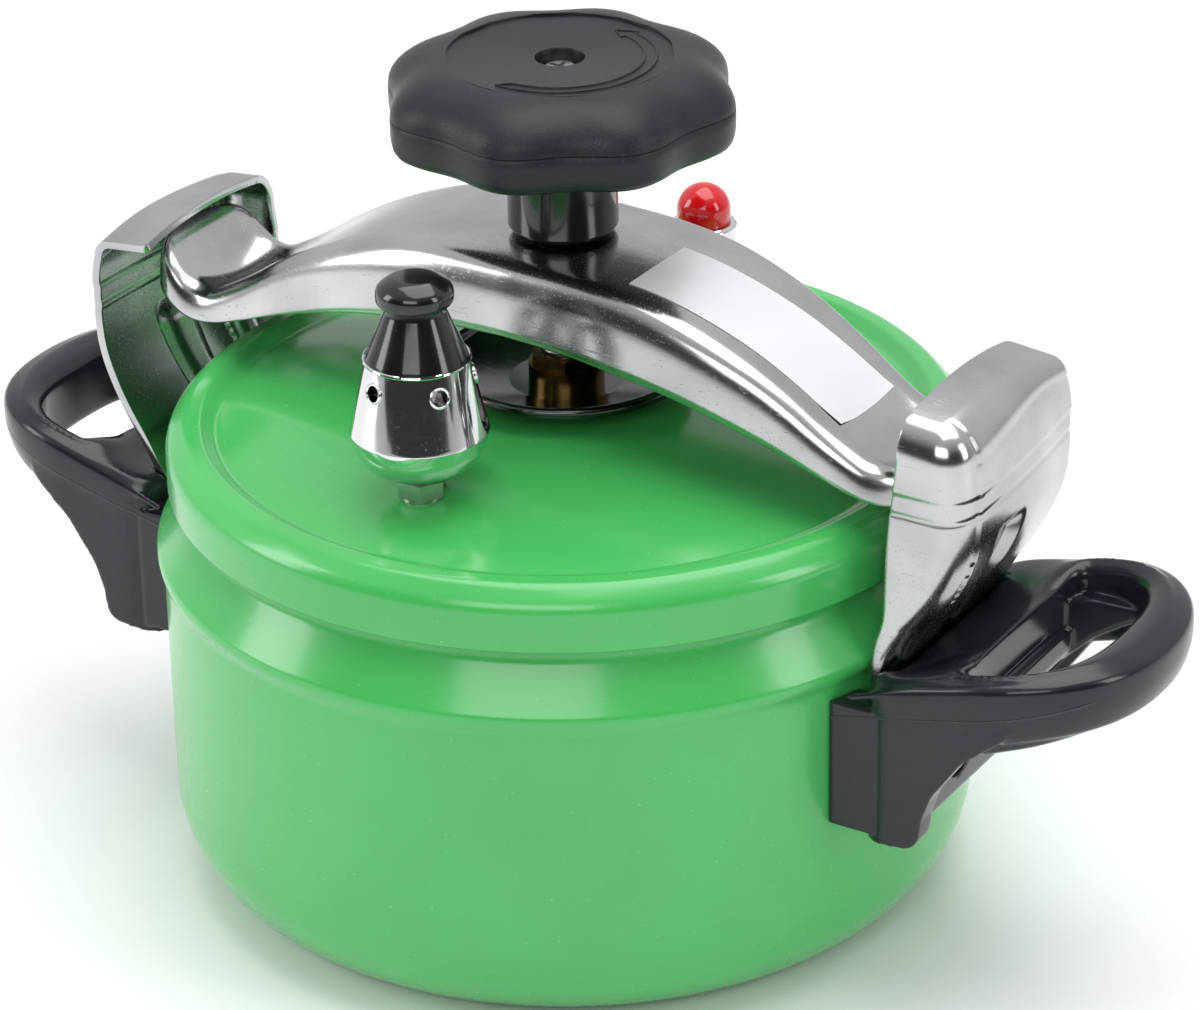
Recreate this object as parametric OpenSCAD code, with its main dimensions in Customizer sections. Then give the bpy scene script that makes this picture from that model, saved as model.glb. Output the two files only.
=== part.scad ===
// Clamp-beam pressure canner: pot, lid, turning beam, screw knob, weight and float valve.
// Millimetres, Z up. The origin is the centre of the pot's flat base, +X runs along the
// beam towards the ear whose closed wall faces -Y.

/* [Pot] */
// Outside radius of the pot's straight wall
pot_radius = 100; // [85:1:120]
// Height of the pot's rim above the table
pot_height = 112; // [95:1:140]
// Thickness of the pot wall
wall = 2.8; // [2:0.1:4]
// Radius of the rounded bottom corner
corner = 25; // [12:1:32]

/* [Lid] */
// Height of the lid's skirt
skirt = 15; // [11:0.5:20]
// Rise of the lid's centre above its rim
dome = 7; // [4:0.5:12]
// Thickness of the lid sheet
lid_t = 2.2; // [1.5:0.1:3]
// Distance of the weight and the float valve from the centre
valve_offset = 61; // [54:1:68]

/* [Beam] */
// Height of the beam's top over the pot's rim
beam_rise = 54.4; // [48:0.2:64]
// Half width of the beam's flanges at mid length
beam_half = 27.5; // [22:0.5:32]
// Sheet thickness of the beam
beam_t = 2; // [1.5:0.1:3]

/* [Ears] */
// Width of an ear across the beam
ear_width = 55; // [50:1:62]
// Sheet thickness of an ear
ear_t = 2; // [1.5:0.1:3]

/* [Handles] */
// Width of a handle along the pot's wall
handle_width = 76; // [66:1:86]
// How far a handle's loop reaches out from the pot's wall
reach = 63; // [56:1:72]

/* [Knob] */
// Radius over the knob's lobes
knob_radius = 42.8; // [36:0.2:48]
// Height of the lobed grip
grip = 21; // [15:0.1:26]
// Depth of the valleys between the lobes
lobe = 3; // [1:0.2:5]

/* [Weight] */
// Largest radius of the pressure weight
weight_radius = 16.4; // [13:0.2:19]

/* [Hidden] */
$fn = 96;
lobes = 8;
spindle_r = 6;        // M12 screw, drawn at its major radius
pitch = 2;            // thread pitch, shared with the joint coupling
run = 0.05;           // radial running clearance of a shaft in its bore
gap = 0.35;           // clearance between pieces that move past each other
fit = 0.02;           // clearance of seated pieces in one body
neck_r = pot_radius - 6;
skirt_z = pot_height + 8 - skirt - 0.85;
lid_top = pot_height + 7.8;
lid_mid = pot_height + 7.5 + dome;
beam_top = pot_height + beam_rise;
hub_z = beam_top + 1.4;
grip_z = hub_z + 22.7;
knob_top = grip_z + grip;
ear_half = ear_width / 2;
ear_in = ear_half - ear_t;
E = pot_radius - 100;          // outward shift of whatever stands off the pot wall
rest_gap = 1.6;                // left between a beam end and the ear's closed wall beside it
// turned until its ends stand beside the ears' closed walls
beam_angle = asin((ear_in - rest_gap - 0.735 * beam_half) / (E + 104));
H = pot_height - 112;          // height shift of whatever stands off the rim
hand_half = handle_width / 2;
tip = pot_radius + 14.2;
bolt_y = 14;
bolt_z = H + 62;
line_a = 88;                   // bearing of the float valve seen from the centre
wx = valve_offset * cos(line_a);
wy = valve_offset * sin(line_a);
fx = (valve_offset + 1.5) * cos(line_a);
fy = (valve_offset + 1.5) * sin(line_a);

// ---- helpers ----

function arc(cx, cy, r, a0, a1, n) =
  [for (i = [0 : n]) [cx + r * cos(a0 + (a1 - a0) * i / n), cy + r * sin(a0 + (a1 - a0) * i / n)]];

// piecewise cubic through a table of [key, value], flat outside its ends
function slope(T, i) = i == 0 ? (T[1][1] - T[0][1]) / (T[1][0] - T[0][0])
  : i == len(T) - 1 ? (T[i][1] - T[i - 1][1]) / (T[i][0] - T[i - 1][0])
  : (T[i + 1][1] - T[i - 1][1]) / (T[i + 1][0] - T[i - 1][0]);
function seg(T, v, i = 0) = (i >= len(T) - 2 || v < T[i + 1][0]) ? i : seg(T, v, i + 1);
function curve(T, v) =
  v <= T[0][0] ? T[0][1] : v >= T[len(T) - 1][0] ? T[len(T) - 1][1] :
  let (i = seg(T, v), w = T[i + 1][0] - T[i][0], t = (v - T[i][0]) / w)
  (1 + 2 * t) * (1 - t) * (1 - t) * T[i][1] + t * (1 - t) * (1 - t) * w * slope(T, i)
  + t * t * (3 - 2 * t) * T[i + 1][1] + t * t * (t - 1) * w * slope(T, i + 1);

// in-plane normal of an open 2D curve, to the left of its direction
function nrm(C, i) = let (a = C[max(i - 1, 0)], b = C[min(i + 1, len(C) - 1)], d = b - a)
  [-d[1], d[0]] / norm(d);
function inset(C, t) = [for (i = [0 : len(C) - 1]) C[i] + t * nrm(C, i)];
function back(C) = [for (i = [len(C) - 1 : -1 : 0]) C[i]];

// solid skin over a list of equally long closed loops
module skin(S, ring = false) {
  m = len(S); n = len(S[0]);
  pts = [for (s = S) for (p = s) p];
  side = [for (i = [0 : (ring ? m - 1 : m - 2)]) for (j = [0 : n - 1]) let (k = (i + 1) % m, q = (j + 1) % n)
    each [[i * n + j, i * n + q, k * n + q], [i * n + j, k * n + q, k * n + j]]];
  end = (m - 1) * n;
  caps = ring ? [] : [for (j = [0 : n / 2 - 2]) each [[j, n - 1 - j, j + 1], [j + 1, n - 1 - j, n - 2 - j],
    [end + j, end + j + 1, end + n - 1 - j], [end + j + 1, end + n - 2 - j, end + n - 1 - j]]];
  polyhedron(pts, concat(side, caps), convexity = 8);
}

// ---- pot ----

pot_out = concat([[0, 0]], arc(pot_radius - corner, corner, corner, -90, 0, 12),
  [[pot_radius, pot_height - 28], [pot_radius + 0.8, pot_height - 26.4],
   [pot_radius + 1.3, pot_height - 24.6], [pot_radius + 1.1, pot_height - 22.8],
   [pot_radius, pot_height - 20.4], [pot_radius - 2.2, pot_height - 17.2],
   [pot_radius - 4.3, pot_height - 14], [pot_radius - 5.6, pot_height - 11], [neck_r, pot_height - 8],
   [neck_r, pot_height - 0.7], [neck_r - 0.7, pot_height]]);
pot_in = [[neck_r - wall + 0.7, pot_height], [neck_r - wall, pot_height - 0.7], [neck_r - wall, pot_height - 8],
  [neck_r - wall + 0.6, pot_height - 11.8], [pot_radius - 4.3 - wall, pot_height - 15.6],
  [pot_radius - 2.2 - wall, pot_height - 19], [pot_radius - 0.3 - wall, pot_height - 22.4],
  [pot_radius - wall, pot_height - 25.5]];

module pot_body() {
  color([0.30, 0.72, 0.38])
  rotate_extrude($fn = 128) polygon(concat(pot_out, pot_in,
    arc(pot_radius - corner, corner, corner - wall, 0, -90, 12), [[0, wall]]));
}

// ---- ears ----

// outer face and inner edge of the right ear against height, at the drawn size
ear_out = [[78, 102.4], [83.5, 103.5], [89.6, 107], [96, 110.5], [102.7, 114.7], [109, 118],
  [116, 120.7], [122, 122], [130, 122.4], [140, 121.8], [147.5, 120]];
ear_edge = [[78, 98.8], [92, 99.4], [100, 101.6], [108, 102.0], [116, 102.3], [126.5, 103],
  [134, 104], [143, 105], [152, 104.5]];
function eo(z) = curve(ear_out, z) + E;
function ei(z) = curve(ear_edge, z) + E;
// height of the crowned top over a plan point
function ear_top(x, y) = 149.9 + 3 * (1 - pow(y / ear_half, 2)) - 0.1 * (x - E - 108) + H;

function ear_line(z, cut) = let (xo = eo(z) - cut, xi = ei(z), rc = min(8.5, (xo - xi) * 0.8),
    yc = -ear_half + cut * 0.8)
  concat([for (y = [ear_half, 18, 9, 0, -9])
      [xo + 1.1 * (1 - pow(y / ear_half, 2)) * min(1, max(0, (z - 90) / 25)), y]],
    [for (a = [0 : 15 : 90]) [xo - rc + rc * cos(a) , yc + rc - rc * sin(a)]],
    [[(xo - rc) * 0.6 + xi * 0.4, yc], [xi, yc]]);
function ear_loop(z) = let (C = ear_line(z, 0))
  [for (p = concat(C, back(inset(C, -ear_t)))) [p[0], p[1], z + H]];

// inner line pulled across the mouth by share s, to make the top sheet
function ear_mouth(z, cut, s) = let (D = inset(ear_line(z, 0), -ear_t), n = len(D), xi = ei(z),
    x0 = eo(z) - max(ear_t, cut + 1), y0 = -ear_half + max(ear_t, cut * 0.8 + 1),
    M = [for (i = [0 : n - 1]) i < 5 ? [x0 + (xi - x0) * i / 4, ear_half]
      : [xi, ear_half + (y0 - ear_half) * (i - 4) / (n - 5)]])
  [for (i = [0 : n - 1]) D[i] * (1 - s) + M[i] * s];
function ear_ring(cut, lo, li, s, f) = let (C = ear_line(147.5, cut), M = back(ear_mouth(147.5, cut, s)),
    L = concat([for (p = C) [p[0], p[1], lo]], [for (p = M) [p[0], p[1], li]]), cx = 112 + E)
  [for (p = L) let (x = cx + (p[0] - cx) * f, y = p[1] * f) [x, y, ear_top(x, y) - p[2]]];

// rolled plate between the pot wall and the handle, with a hole for each stud
module ear_tab() intersection() {
  difference() {
    translate([0, 0, bolt_z - 10]) cylinder(h = H + 94 - bolt_z, r = pot_radius + ear_t + 0.3, $fn = 128);
    cylinder(h = 200, r = pot_radius + fit, $fn = 128);
    for (s = [-1, 1]) translate([E + 80, s * bolt_y, bolt_z]) rotate([0, 90, 0])
      cylinder(h = 40, r = 4.5 + fit);
  }
  translate([E + 80, -24, 0]) cube([40, 48, 200]);
}

module ear() {
  ear_tab();
  zs = [78, 81, 84, 87, 90, 94, 98, 102, 106, 110, 114, 118, 122, 126, 130, 134, 138, 142, 144.5];
  skin(concat([for (z = zs) ear_loop(z)],
    [for (s = [0, 0.34, 0.67, 1]) ear_ring(0.1 + s * 0.2, 3.6 - s, ear_t, s, 1)],
    [ear_ring(1.1, 1.7, 1.2, 1, 1), ear_ring(2.6, 0.6, 0.4, 1, 1), ear_ring(4.6, 0.12, 0, 1, 0.992),
     ear_ring(5, 0, 0, 1, 0.8), ear_ring(5, 0, 0, 1, 0.45), ear_ring(5, 0, 0, 1, 0.12)]));
}
module right_ear() { color([0.82, 0.82, 0.84]) ear(); }
module left_ear() { color([0.82, 0.82, 0.84]) rotate([0, 0, 180]) ear(); }

// ---- handles ----

hand_t = [[96, 83.2], [104, 86.1], [112.3, 88.7], [122.6, 91.6], [130, 93.6], [140, 95.6],
  [150, 96.6], [163, 96.8]];
hand_b = [[96, 74], [120, 75], [130, 77.6], [138, 80.2], [148, 82.4], [163, 84]];
function ht(x) = curve(hand_t, x - E) + H;
function hb(x) = curve(hand_b, x - E) + H;
// distance from the loop's middle to a rounded outline, along angle a
function lobe_r(a, w, h, n) = pow(pow(abs(cos(a)) / w, n) + pow(abs(sin(a)) / h, n), -1 / n);
hx = E + 128;                  // middle of the outlines
function hand_ro(a) = cos(a) > 0 ? lobe_r(a, reach - 28, hand_half, 2.2) : lobe_r(a, 28, hand_half, 8);
function hand_ri(a) = cos(a) > 0 ? lobe_r(a, reach - 41.5, hand_half - 8.5, 2.7)
  : lobe_r(a, 5.5, hand_half - 8.5, 3.4);

module handle_loop() {
  S = [for (k = [0 : 71])
    let (a = k * 5, c = cos(a), s = sin(a), ro = hand_ro(a), ri = hand_ri(a), m = (ro + ri) / 2)
    [for (q = [[ro - 0.4, 0.45, 0], [ro, 0.72, 0], [ro - 1.2, 0.95, 0.6], [ro - 3.4, 1, 2.2], [m, 1, 3.2],
        [ri + 2.6, 1, 2.2], [ri + 0.6, 1, 0], [ri, 0.8, 0], [ri, 0.35, 0], [ri + 0.8, 0.12, 0],
        [ri + 2.6, 0, 0], [m, -0.04, 0], [ro - 3.2, 0, 0], [ro - 1.3, 0.14, 0]])
      let (x = hx + q[0] * c, y = q[0] * s, e = abs(y) / hand_half,
          rise = q[2] * (c > 0 ? 1 : min(1, max(0, (e - 0.5) / 0.3))))
      [x, y, hb(x) + (ht(x) - hb(x)) * q[1] + rise]]];
  skin(S, true);
}

module handle() {
  slot = [[E + 90, H + 76], [E + 102.9, H + 76], [E + 103.1, H + 80.5], [E + 104, H + 84],
    [E + 107.7, H + 90], [E + 111.4, H + 96.5], [E + 90, H + 99]];
  cheek = concat([[E + 92, H + 44.6], [E + 99.7, H + 45.7]],
    arc(E + 113.2, H + 52.8, 4.2, -70, 5, 4),
    [[E + 118.3, H + 58], [E + 120, H + 63], [E + 123.2, H + 69], [E + 128, H + 74.6], [E + 133.5, H + 79],
     [E + 139, H + 83.4], [E + 139, H + 88], [E + 130, H + 90.6], [E + 120, H + 87.4], [E + 107, H + 83.2],
     [E + 100, H + 83.6], [E + 92, H + 82]]);
  web = [[E + 105, H + 48.5], [E + 113, H + 49.5], [E + 114.9, H + 52], [E + 115.9, H + 59],
    [E + 117.6, H + 64.5], [E + 119.6, H + 69], [E + 121.6, H + 72.6], [E + 121.6, H + 80], [E + 105, H + 80]];
  difference() {
    union() {
      handle_loop();
      translate([0, hand_half - 6, 0]) rotate([90, 0, 0]) linear_extrude(handle_width - 12) polygon(web);
      intersection() {
        for (y = [-hand_half + 0.4, hand_half - 7.4]) translate([0, y + 7, 0]) rotate([90, 0, 0])
          linear_extrude(7) polygon(cheek);
        translate([hx, 0, 0]) linear_extrude(150)
          polygon([for (k = [0 : 71]) (hand_ro(k * 5) - 0.4) * [cos(k * 5), sin(k * 5)]]);
      }
      intersection() {
        translate([0, 0, H + 48.5]) cylinder(h = 33, r = pot_radius + 11.5);
        translate([E + 80, -hand_half + 1, H + 48]) cube([40, handle_width - 2, 40]);
      }
    }
    translate([0, 0, -1]) cylinder(h = 200, r = pot_radius + fit, $fn = 128);
    translate([0, 0, pot_height - 28]) cylinder(h = 60, r = pot_radius + 1.35, $fn = 128);
    intersection() {
      translate([0, 0, bolt_z - 10.4]) cylinder(h = 40, r = pot_radius + ear_t + 0.6 + fit, $fn = 128);
      translate([E + 80, -24.5, 0]) cube([40, 49, 200]);
    }
    translate([0, ear_half + 0.4, 0]) rotate([90, 0, 0]) linear_extrude(ear_width + 0.8) polygon(slot);
    for (s = [-1, 1]) translate([E, s * bolt_y, bolt_z]) rotate([0, 90, 0]) {
      cylinder(h = 160, r = 2.6 + fit);
      translate([0, 0, 106.2]) cylinder(h = 60, r = 5.4);
      translate([0, 0, 90]) cylinder(h = 14, r = 4.5 + fit);
    }
  }
}
module right_handle() { color([0.09, 0.09, 0.1]) handle(); }
module left_handle() { color([0.09, 0.09, 0.1]) rotate([0, 0, 180]) handle(); }

// welded bosses on the pot and the screws that pull handle and ear against them
module studs() difference() {
  for (s = [-1, 1]) translate([E + 95, s * bolt_y, bolt_z]) rotate([0, 90, 0]) cylinder(h = 9, r = 4.5);
  cylinder(h = 200, r = pot_radius + fit, $fn = 128);
  for (s = [-1, 1]) translate([E + 99.3, s * bolt_y, bolt_z]) rotate([0, 90, 0]) cylinder(h = 9, r = 2.5 + fit);
}
module screws() for (s = [-1, 1]) translate([E, s * bolt_y, bolt_z]) rotate([0, 90, 0]) difference() {
  union() {
    translate([0, 0, 99.6]) cylinder(h = 8, r = 2.5);
    translate([0, 0, 106.2]) cylinder(h = 2.2, r = 4.6);
    translate([0, 0, 108.4]) cylinder(h = 0.8, r1 = 4.6, r2 = 3.6);
  }
  translate([-2.9, -0.55, 108]) cube([5.8, 1.1, 2]);
  translate([-0.55, -2.9, 108]) cube([1.1, 5.8, 2]);
}
module right_studs() { color([0.75, 0.75, 0.77]) studs(); }
module left_studs() { color([0.75, 0.75, 0.77]) rotate([0, 0, 180]) studs(); }
module right_screws() { color([0.8, 0.78, 0.7]) screws(); }
module left_screws() { color([0.8, 0.78, 0.7]) rotate([0, 0, 180]) screws(); }

// ---- lid ----

lid_r = neck_r + 1.3;          // inside of the skirt, 1.3 mm clear of the neck
edge_r = lid_r + lid_t + 0.5;
seat = [[lid_r, pot_height], [lid_r, pot_height + 2.5], [lid_r - 1.8, pot_height + 5],
  [lid_r - 4.8, pot_height + 5.6], [lid_r - 6.3, pot_height + 5], [lid_r - 7.5, pot_height + 4]];
function dome_z(r) = lid_mid - (dome + 1.3) * pow(r / (lid_r - 10.5), 2);

module lid() {
  outer = concat([for (r = [0 : 7 : lid_r - 12]) [r, dome_z(r)]],
    [[lid_r - 11, pot_height + 6.1], [lid_r - 8.8, pot_height + 5.8], [lid_r - 7.2, pot_height + 6.4],
     [lid_r - 5.9, pot_height + 7.4], [lid_r - 4.4, lid_top], [lid_r - 2.2, lid_top - 0.3],
     [lid_r, lid_top - 1.7], [edge_r - 0.9, lid_top - 3.8], [edge_r, lid_top - 6.8],
     [edge_r, skirt_z + 2.2], [edge_r - 0.3, skirt_z + 0.8], [edge_r - 1, skirt_z]]);
  under = concat([[lid_r + 0.3, skirt_z], [lid_r, skirt_z + 1.4]], [for (i = [1 : 5]) seat[i]],
    [[lid_r - 9.2, pot_height + 3.7], [lid_r - 11.3, pot_height + 4]],
    [for (i = [0 : 11]) let (r = (lid_r - 12) * (1 - i / 11)) [r, dome_z(r) - lid_t]]);
  color([0.30, 0.72, 0.38]) difference() {
    rotate_extrude($fn = 128) polygon(concat(outer, under));
    translate([0, 0, pot_height]) cylinder(h = 40, r = 6 + fit);
    translate([-wx, -wy, pot_height]) cylinder(h = 40, r = 5 + fit);
    translate([fx, fy, pot_height]) cylinder(h = 40, r = 5.5 + fit);
    translate([-wx, -wy, hex_z - fit]) cylinder(h = 10, r = 6.4);
    translate([fx, fy, fl_z - fit]) cylinder(h = 10, r = 10.4);
  }
}

module gasket() {
  color([0.22, 0.22, 0.23]) rotate_extrude($fn = 128)
    polygon(concat([for (p = seat) [p[0] - (p[0] > lid_r - 1 ? fit : 0), max(p[1] - fit, pot_height)]],
      [[lid_r - 7.5, pot_height + 0.8], [lid_r - 6.8, pot_height]]));
}

plate_z = lid_mid + fit;
module press_plate() {
  color([0.8, 0.8, 0.82]) rotate_extrude($fn = 128) polygon([[6.05, plate_z], [13, plate_z],
    [16, plate_z + 0.5], [28, plate_z + 3.6], [30.6, plate_z + 3.9], [31.4, plate_z + 5],
    [31.1, plate_z + 6.3], [30, plate_z + 6.9],
    [29, plate_z + 6.5], [28.6, plate_z + 5.4], [27.6, plate_z + 4.8], [15.6, plate_z + 1.7],
    [13, plate_z + 1.2], [6.05, plate_z + 1.2]]);
}

foot_z = plate_z + 2.4;        // the spindle's thrust face
module spindle_bush() {
  color([0.78, 0.62, 0.28]) rotate_extrude() polygon([[0, plate_z - 5], [8.4, plate_z - 5],
    [8.4, plate_z - lid_t - 0.6], [6, plate_z - lid_t - 0.4], [6, plate_z + 1.22], [9.2, plate_z + 1.22],
    [9.2, foot_z + 3.4],
    [7.4, foot_z + 3.4], [7.4, foot_z], [0, foot_z]]);
}
module bush_cap() {
  color([0.78, 0.62, 0.28]) difference() {
    translate([0, 0, foot_z + 3.42]) cylinder(h = 3.2, r = 9.2, $fn = 6);
    translate([0, 0, foot_z]) cylinder(h = 12, r = spindle_r + run);
  }
}

pipe_z = lid_mid - 8.5;        // inner end of the vent pipe
hex_z = dome_z(valve_offset) + 0.35;
module vent_pipe() {
  color([0.8, 0.8, 0.82]) translate([-wx, -wy, 0]) difference() {
    union() {
      translate([0, 0, hex_z - 12]) cylinder(h = 14, r = 5);
      translate([0, 0, hex_z]) cylinder(h = 4, r = 6, $fn = 6);
      translate([0, 0, hex_z + 1]) cylinder(h = 22, r = 3.4);
    }
    translate([0, 0, hex_z - 13]) cylinder(h = 40, r = 1.4);
  }
}
module vent_nut() {
  color([0.8, 0.8, 0.82]) translate([-wx, -wy, hex_z - 7.2]) difference() {
    cylinder(h = 3.4, r = 8, $fn = 6);
    translate([0, 0, -1]) cylinder(h = 6, r = 5 + fit);
  }
}
module vent_filter() {
  color([0.8, 0.8, 0.82]) translate([-wx, -wy, hex_z - 16]) difference() {
    cylinder(h = 8.6, r = 6.2);
    translate([0, 0, 1]) cylinder(h = 9, r = 5 + fit);
    for (a = [0 : 60 : 300]) rotate([0, 0, a]) translate([3.2, 0, -1]) cylinder(h = 3, r = 0.9);
    for (a = [30 : 60 : 330]) translate([0, 0, 2.4]) rotate([0, 90, a]) cylinder(h = 8, r = 0.8);
  }
}

// ---- float valve ----

fl_z = dome_z(valve_offset + 1.5) + 0.35;
cap_z = pot_height + 34.1;     // underside of the red cap at rest
module float_bush() {
  color([0.8, 0.8, 0.82]) translate([fx, fy, 0]) difference() {
    union() {
      translate([0, 0, fl_z - 10]) cylinder(h = 12, r = 5.5);
      translate([0, 0, fl_z]) cylinder(h = 4, r = 10, $fn = 6);
      translate([0, 0, fl_z + 4]) cylinder(h = cap_z - fl_z - 9, r1 = 7.4, r2 = 7.4);
      translate([0, 0, cap_z - 6.5]) cylinder(h = 1.5, r1 = 7.4, r2 = 8.4);
      translate([0, 0, cap_z - 5]) cylinder(h = 4.2, r = 8.4);
      translate([0, 0, cap_z - 0.8]) cylinder(h = 0.8, r1 = 8.4, r2 = 7.7);
    }
    translate([0, 0, fl_z - 20]) cylinder(h = 80, r = 2 + run);
  }
}
module float_nut() {
  color([0.8, 0.8, 0.82]) translate([fx, fy, fl_z - 7.6]) difference() {
    cylinder(h = 3.4, r = 9, $fn = 6);
    translate([0, 0, -1]) cylinder(h = 6, r = 5.5 + fit);
  }
}
module float_cap() {
  color([0.8, 0.05, 0.06]) translate([fx, fy, cap_z]) difference() {
    rotate_extrude() polygon(concat([[0, 0], [6.5, 0], [6.8, 0.3]], arc(0, 3, 6.8, 0, 90, 12)));
    translate([0, 0, -1]) cylinder(h = 5, r = 2 + fit);
  }
}
module float_stem() {
  color([0.8, 0.8, 0.82]) translate([fx, fy, 0]) union() {
    translate([0, 0, fl_z - 20]) cylinder(h = cap_z + 4 - fl_z + 20, r = 2);
    translate([0, 0, fl_z - 20]) cylinder(h = 1.6, r = 5);
  }
}
module float_seal() {
  color([0.75, 0.3, 0.2]) translate([fx, fy, fl_z - 18.4 + fit]) difference() {
    cylinder(h = 2.6, r = 4.4);
    translate([0, 0, -1]) cylinder(h = 6, r = 2 + fit);
  }
}

// ---- beam ----

beam_z = [[0, 0], [20, -0.6], [35, -2.8], [48, -6.9], [60, -12.2], [70, -18], [79, -24.2], [87, -29],
  [92.5, -31.4], [98, -30.4], [103, -25.8], [107, -22.4], [110, -21.6]];
beam_low = [[0, -17], [20, -18.2], [45, -22.6], [66, -29.4], [80, -35], [89, -38.2], [96, -38.8],
  [102, -36.4], [106.5, -32.4], [110, -29.4]];
beam_w = [[0, 1], [30, 0.975], [50, 0.92], [68, 0.83], [82, 0.77], [92, 0.745], [101, 0.73],
  [105, 0.7], [107.6, 0.62], [109.2, 0.5], [109.8, 0.42]];
function bz(x) = beam_top + curve(beam_z, abs(x) * 109.8 / tip);
function bl(x) = beam_top + curve(beam_low, abs(x) * 109.8 / tip);
function bw(x) = beam_half * curve(beam_w, abs(x) * 109.8 / tip);
// dish of the end paddles: how far the middle lies under its rim
beam_dish = [[0, -0.5], [55, 0], [75, 1.2], [90, 2.4], [100, 2.2], [107, 0.8], [110, 0]];
function dish(x) = curve(beam_dish, abs(x) * 109.8 / tip);
prof = [[1, 0], [0.985, 0.26], [0.965, 0.5], [0.935, 0.71], [0.885, 0.87], [0.815, 0.965],
  [0.71, 1], [0.5, 1], [0.26, 1]];
// height of a point of the profile, dished where it lies on the flat top
function prof_z(x, p) = bl(x) + (bz(x) - bl(x)) * p[1] - (p[1] == 1 ? dish(x) * (1 - pow(p[0] / 0.72, 2)) : 0);
function beam_side(x) = concat([for (p = prof) [bw(x) * p[0], prof_z(x, p)]], [[0, bz(x) - dish(x)]],
  [for (p = back(prof)) [-bw(x) * p[0], prof_z(x, p)]]);
function beam_loop(x, solid, fall) = let (C = beam_side(x), h = bz(x) - bl(x),
    D = [for (p = C) [p[0], bl(x) + (p[1] - bl(x)) * (1 - fall)]],
    I = solid ? [for (p = C) [p[0] * 0.93, bl(x) - 0.02]] : inset(C, beam_t))
  [for (p = concat(D, back(I))) [x, p[0], p[1]]];

module beam() {
  k = tip / 109.8;
  at = [8, 16, 24, 32, 40, 47, 54, 60, 66, 71, 76, 81, 85, 89, 93, 97, 101, 104, 106.4];
  half = concat([for (a = at) [a, false, 0]],
    [[107, true, 0], [108.2, true, 0.02], [109.2, true, 0.09], [109.8, true, 0.2]]);
  all = concat(back(half), [[0, false, 0]], [for (q = half) [-q[0], q[1], q[2]]]);
  color([0.82, 0.82, 0.84]) rotate([0, 0, -beam_angle]) difference() {
    skin([for (q = all) beam_loop(q[0] * k, q[1], q[2])]);
    translate([0, 0, beam_top - 10]) cylinder(h = 20, r = 9 + fit);
  }
}
module beam_nut() {
  color([0.78, 0.62, 0.28]) difference() {
    union() {
      translate([0, 0, beam_top - beam_t - 5]) cylinder(h = beam_t + 5, r = 9);
      translate([0, 0, beam_top - beam_t - 5]) cylinder(h = 4.8, r = 13);
    }
    translate([0, 0, beam_top - 20]) cylinder(h = 30, r = spindle_r + run);
  }
}
module foil_label() {
  S = [for (x = [29 : 5 : 84]) let (d = 0.085 * (x - 56))
    concat([for (y = [-12 : 4 : 12]) let (v = (y + d - 1.5))
        [x, v, bz(x) - dish(x) * (1 - pow(v / (0.72 * bw(x)), 2)) + 0.34]],
      [for (y = [12 : -4 : -12]) let (v = (y + d - 1.5))
        [x, v, bz(x) - dish(x) * (1 - pow(v / (0.72 * bw(x)), 2)) + 0.14]])];
  color([0.93, 0.93, 0.95]) rotate([0, 0, -beam_angle]) skin(S);
}

// ---- spindle and knob ----

spindle_top = grip_z + 6;
module spindle() {
  color([0.72, 0.72, 0.75]) rotate_extrude() polygon([[0, foot_z], [6.6, foot_z], [7.05, foot_z + 0.45],
    [7.05, foot_z + 3.05], [spindle_r, foot_z + 3.05], [spindle_r, spindle_top - 0.8],
    [spindle_r - 0.8, spindle_top],
    [2.5 + fit, spindle_top], [2.5 + fit, spindle_top - 16], [0, spindle_top - 17.4]]);
}

// grip outline against height: [height share, inset from the lobed edge, depth of the lobes]
grip_prof = [[0, 15, 0.2], [0.015, 9.6, 0.5], [0.07, 5.4, 0.8], [0.17, 2.5, 1], [0.32, 0.7, 1], [0.47, 0, 1],
  [0.62, 0.25, 1], [0.76, 1.3, 0.95], [0.88, 3.4, 0.85], [0.955, 6.2, 0.7], [1, 10.4, 0.45]];
module knob() {
  color([0.1, 0.1, 0.11]) difference() {
    union() {
      skin([for (g = grip_prof) [for (k = [0 : 95]) let (a = -k * 3.75,
          r = knob_radius - lobe / 2 - g[1] + g[2] * lobe / 2 * cos(lobes * (a + 32.7)))
        [r * cos(a), r * sin(a), grip_z + grip * g[0]]]]);
      translate([0, 0, hub_z]) cylinder(h = grip_z - hub_z + 2, r = 13.3);
    }
    translate([0, 0, knob_top - 0.8]) difference() {
      cylinder(h = 4, r = 27);
      rotate([0, 0, -100]) rotate_extrude(angle = 175) translate([22.6, -1]) square([0.9, 1.5]);
      rotate([0, 0, -92]) rotate_extrude(angle = 162) translate([19.4, -1]) square([0.9, 1.5]);
    }
    translate([0, 0, knob_top - 7]) cylinder(h = 9, r = 5.8);
    translate([0, 0, hub_z - 1]) cylinder(h = spindle_top - hub_z + 1, r = spindle_r + fit);
    translate([0, 0, hub_z]) cylinder(h = 40, r = 2.7);
  }
}
module knob_washer() {
  color([0.8, 0.8, 0.82]) translate([0, 0, knob_top - 7]) difference() {
    cylinder(h = 1, r = 5.4);
    translate([0, 0, -1]) cylinder(h = 3, r = 2.6);
  }
}
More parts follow.
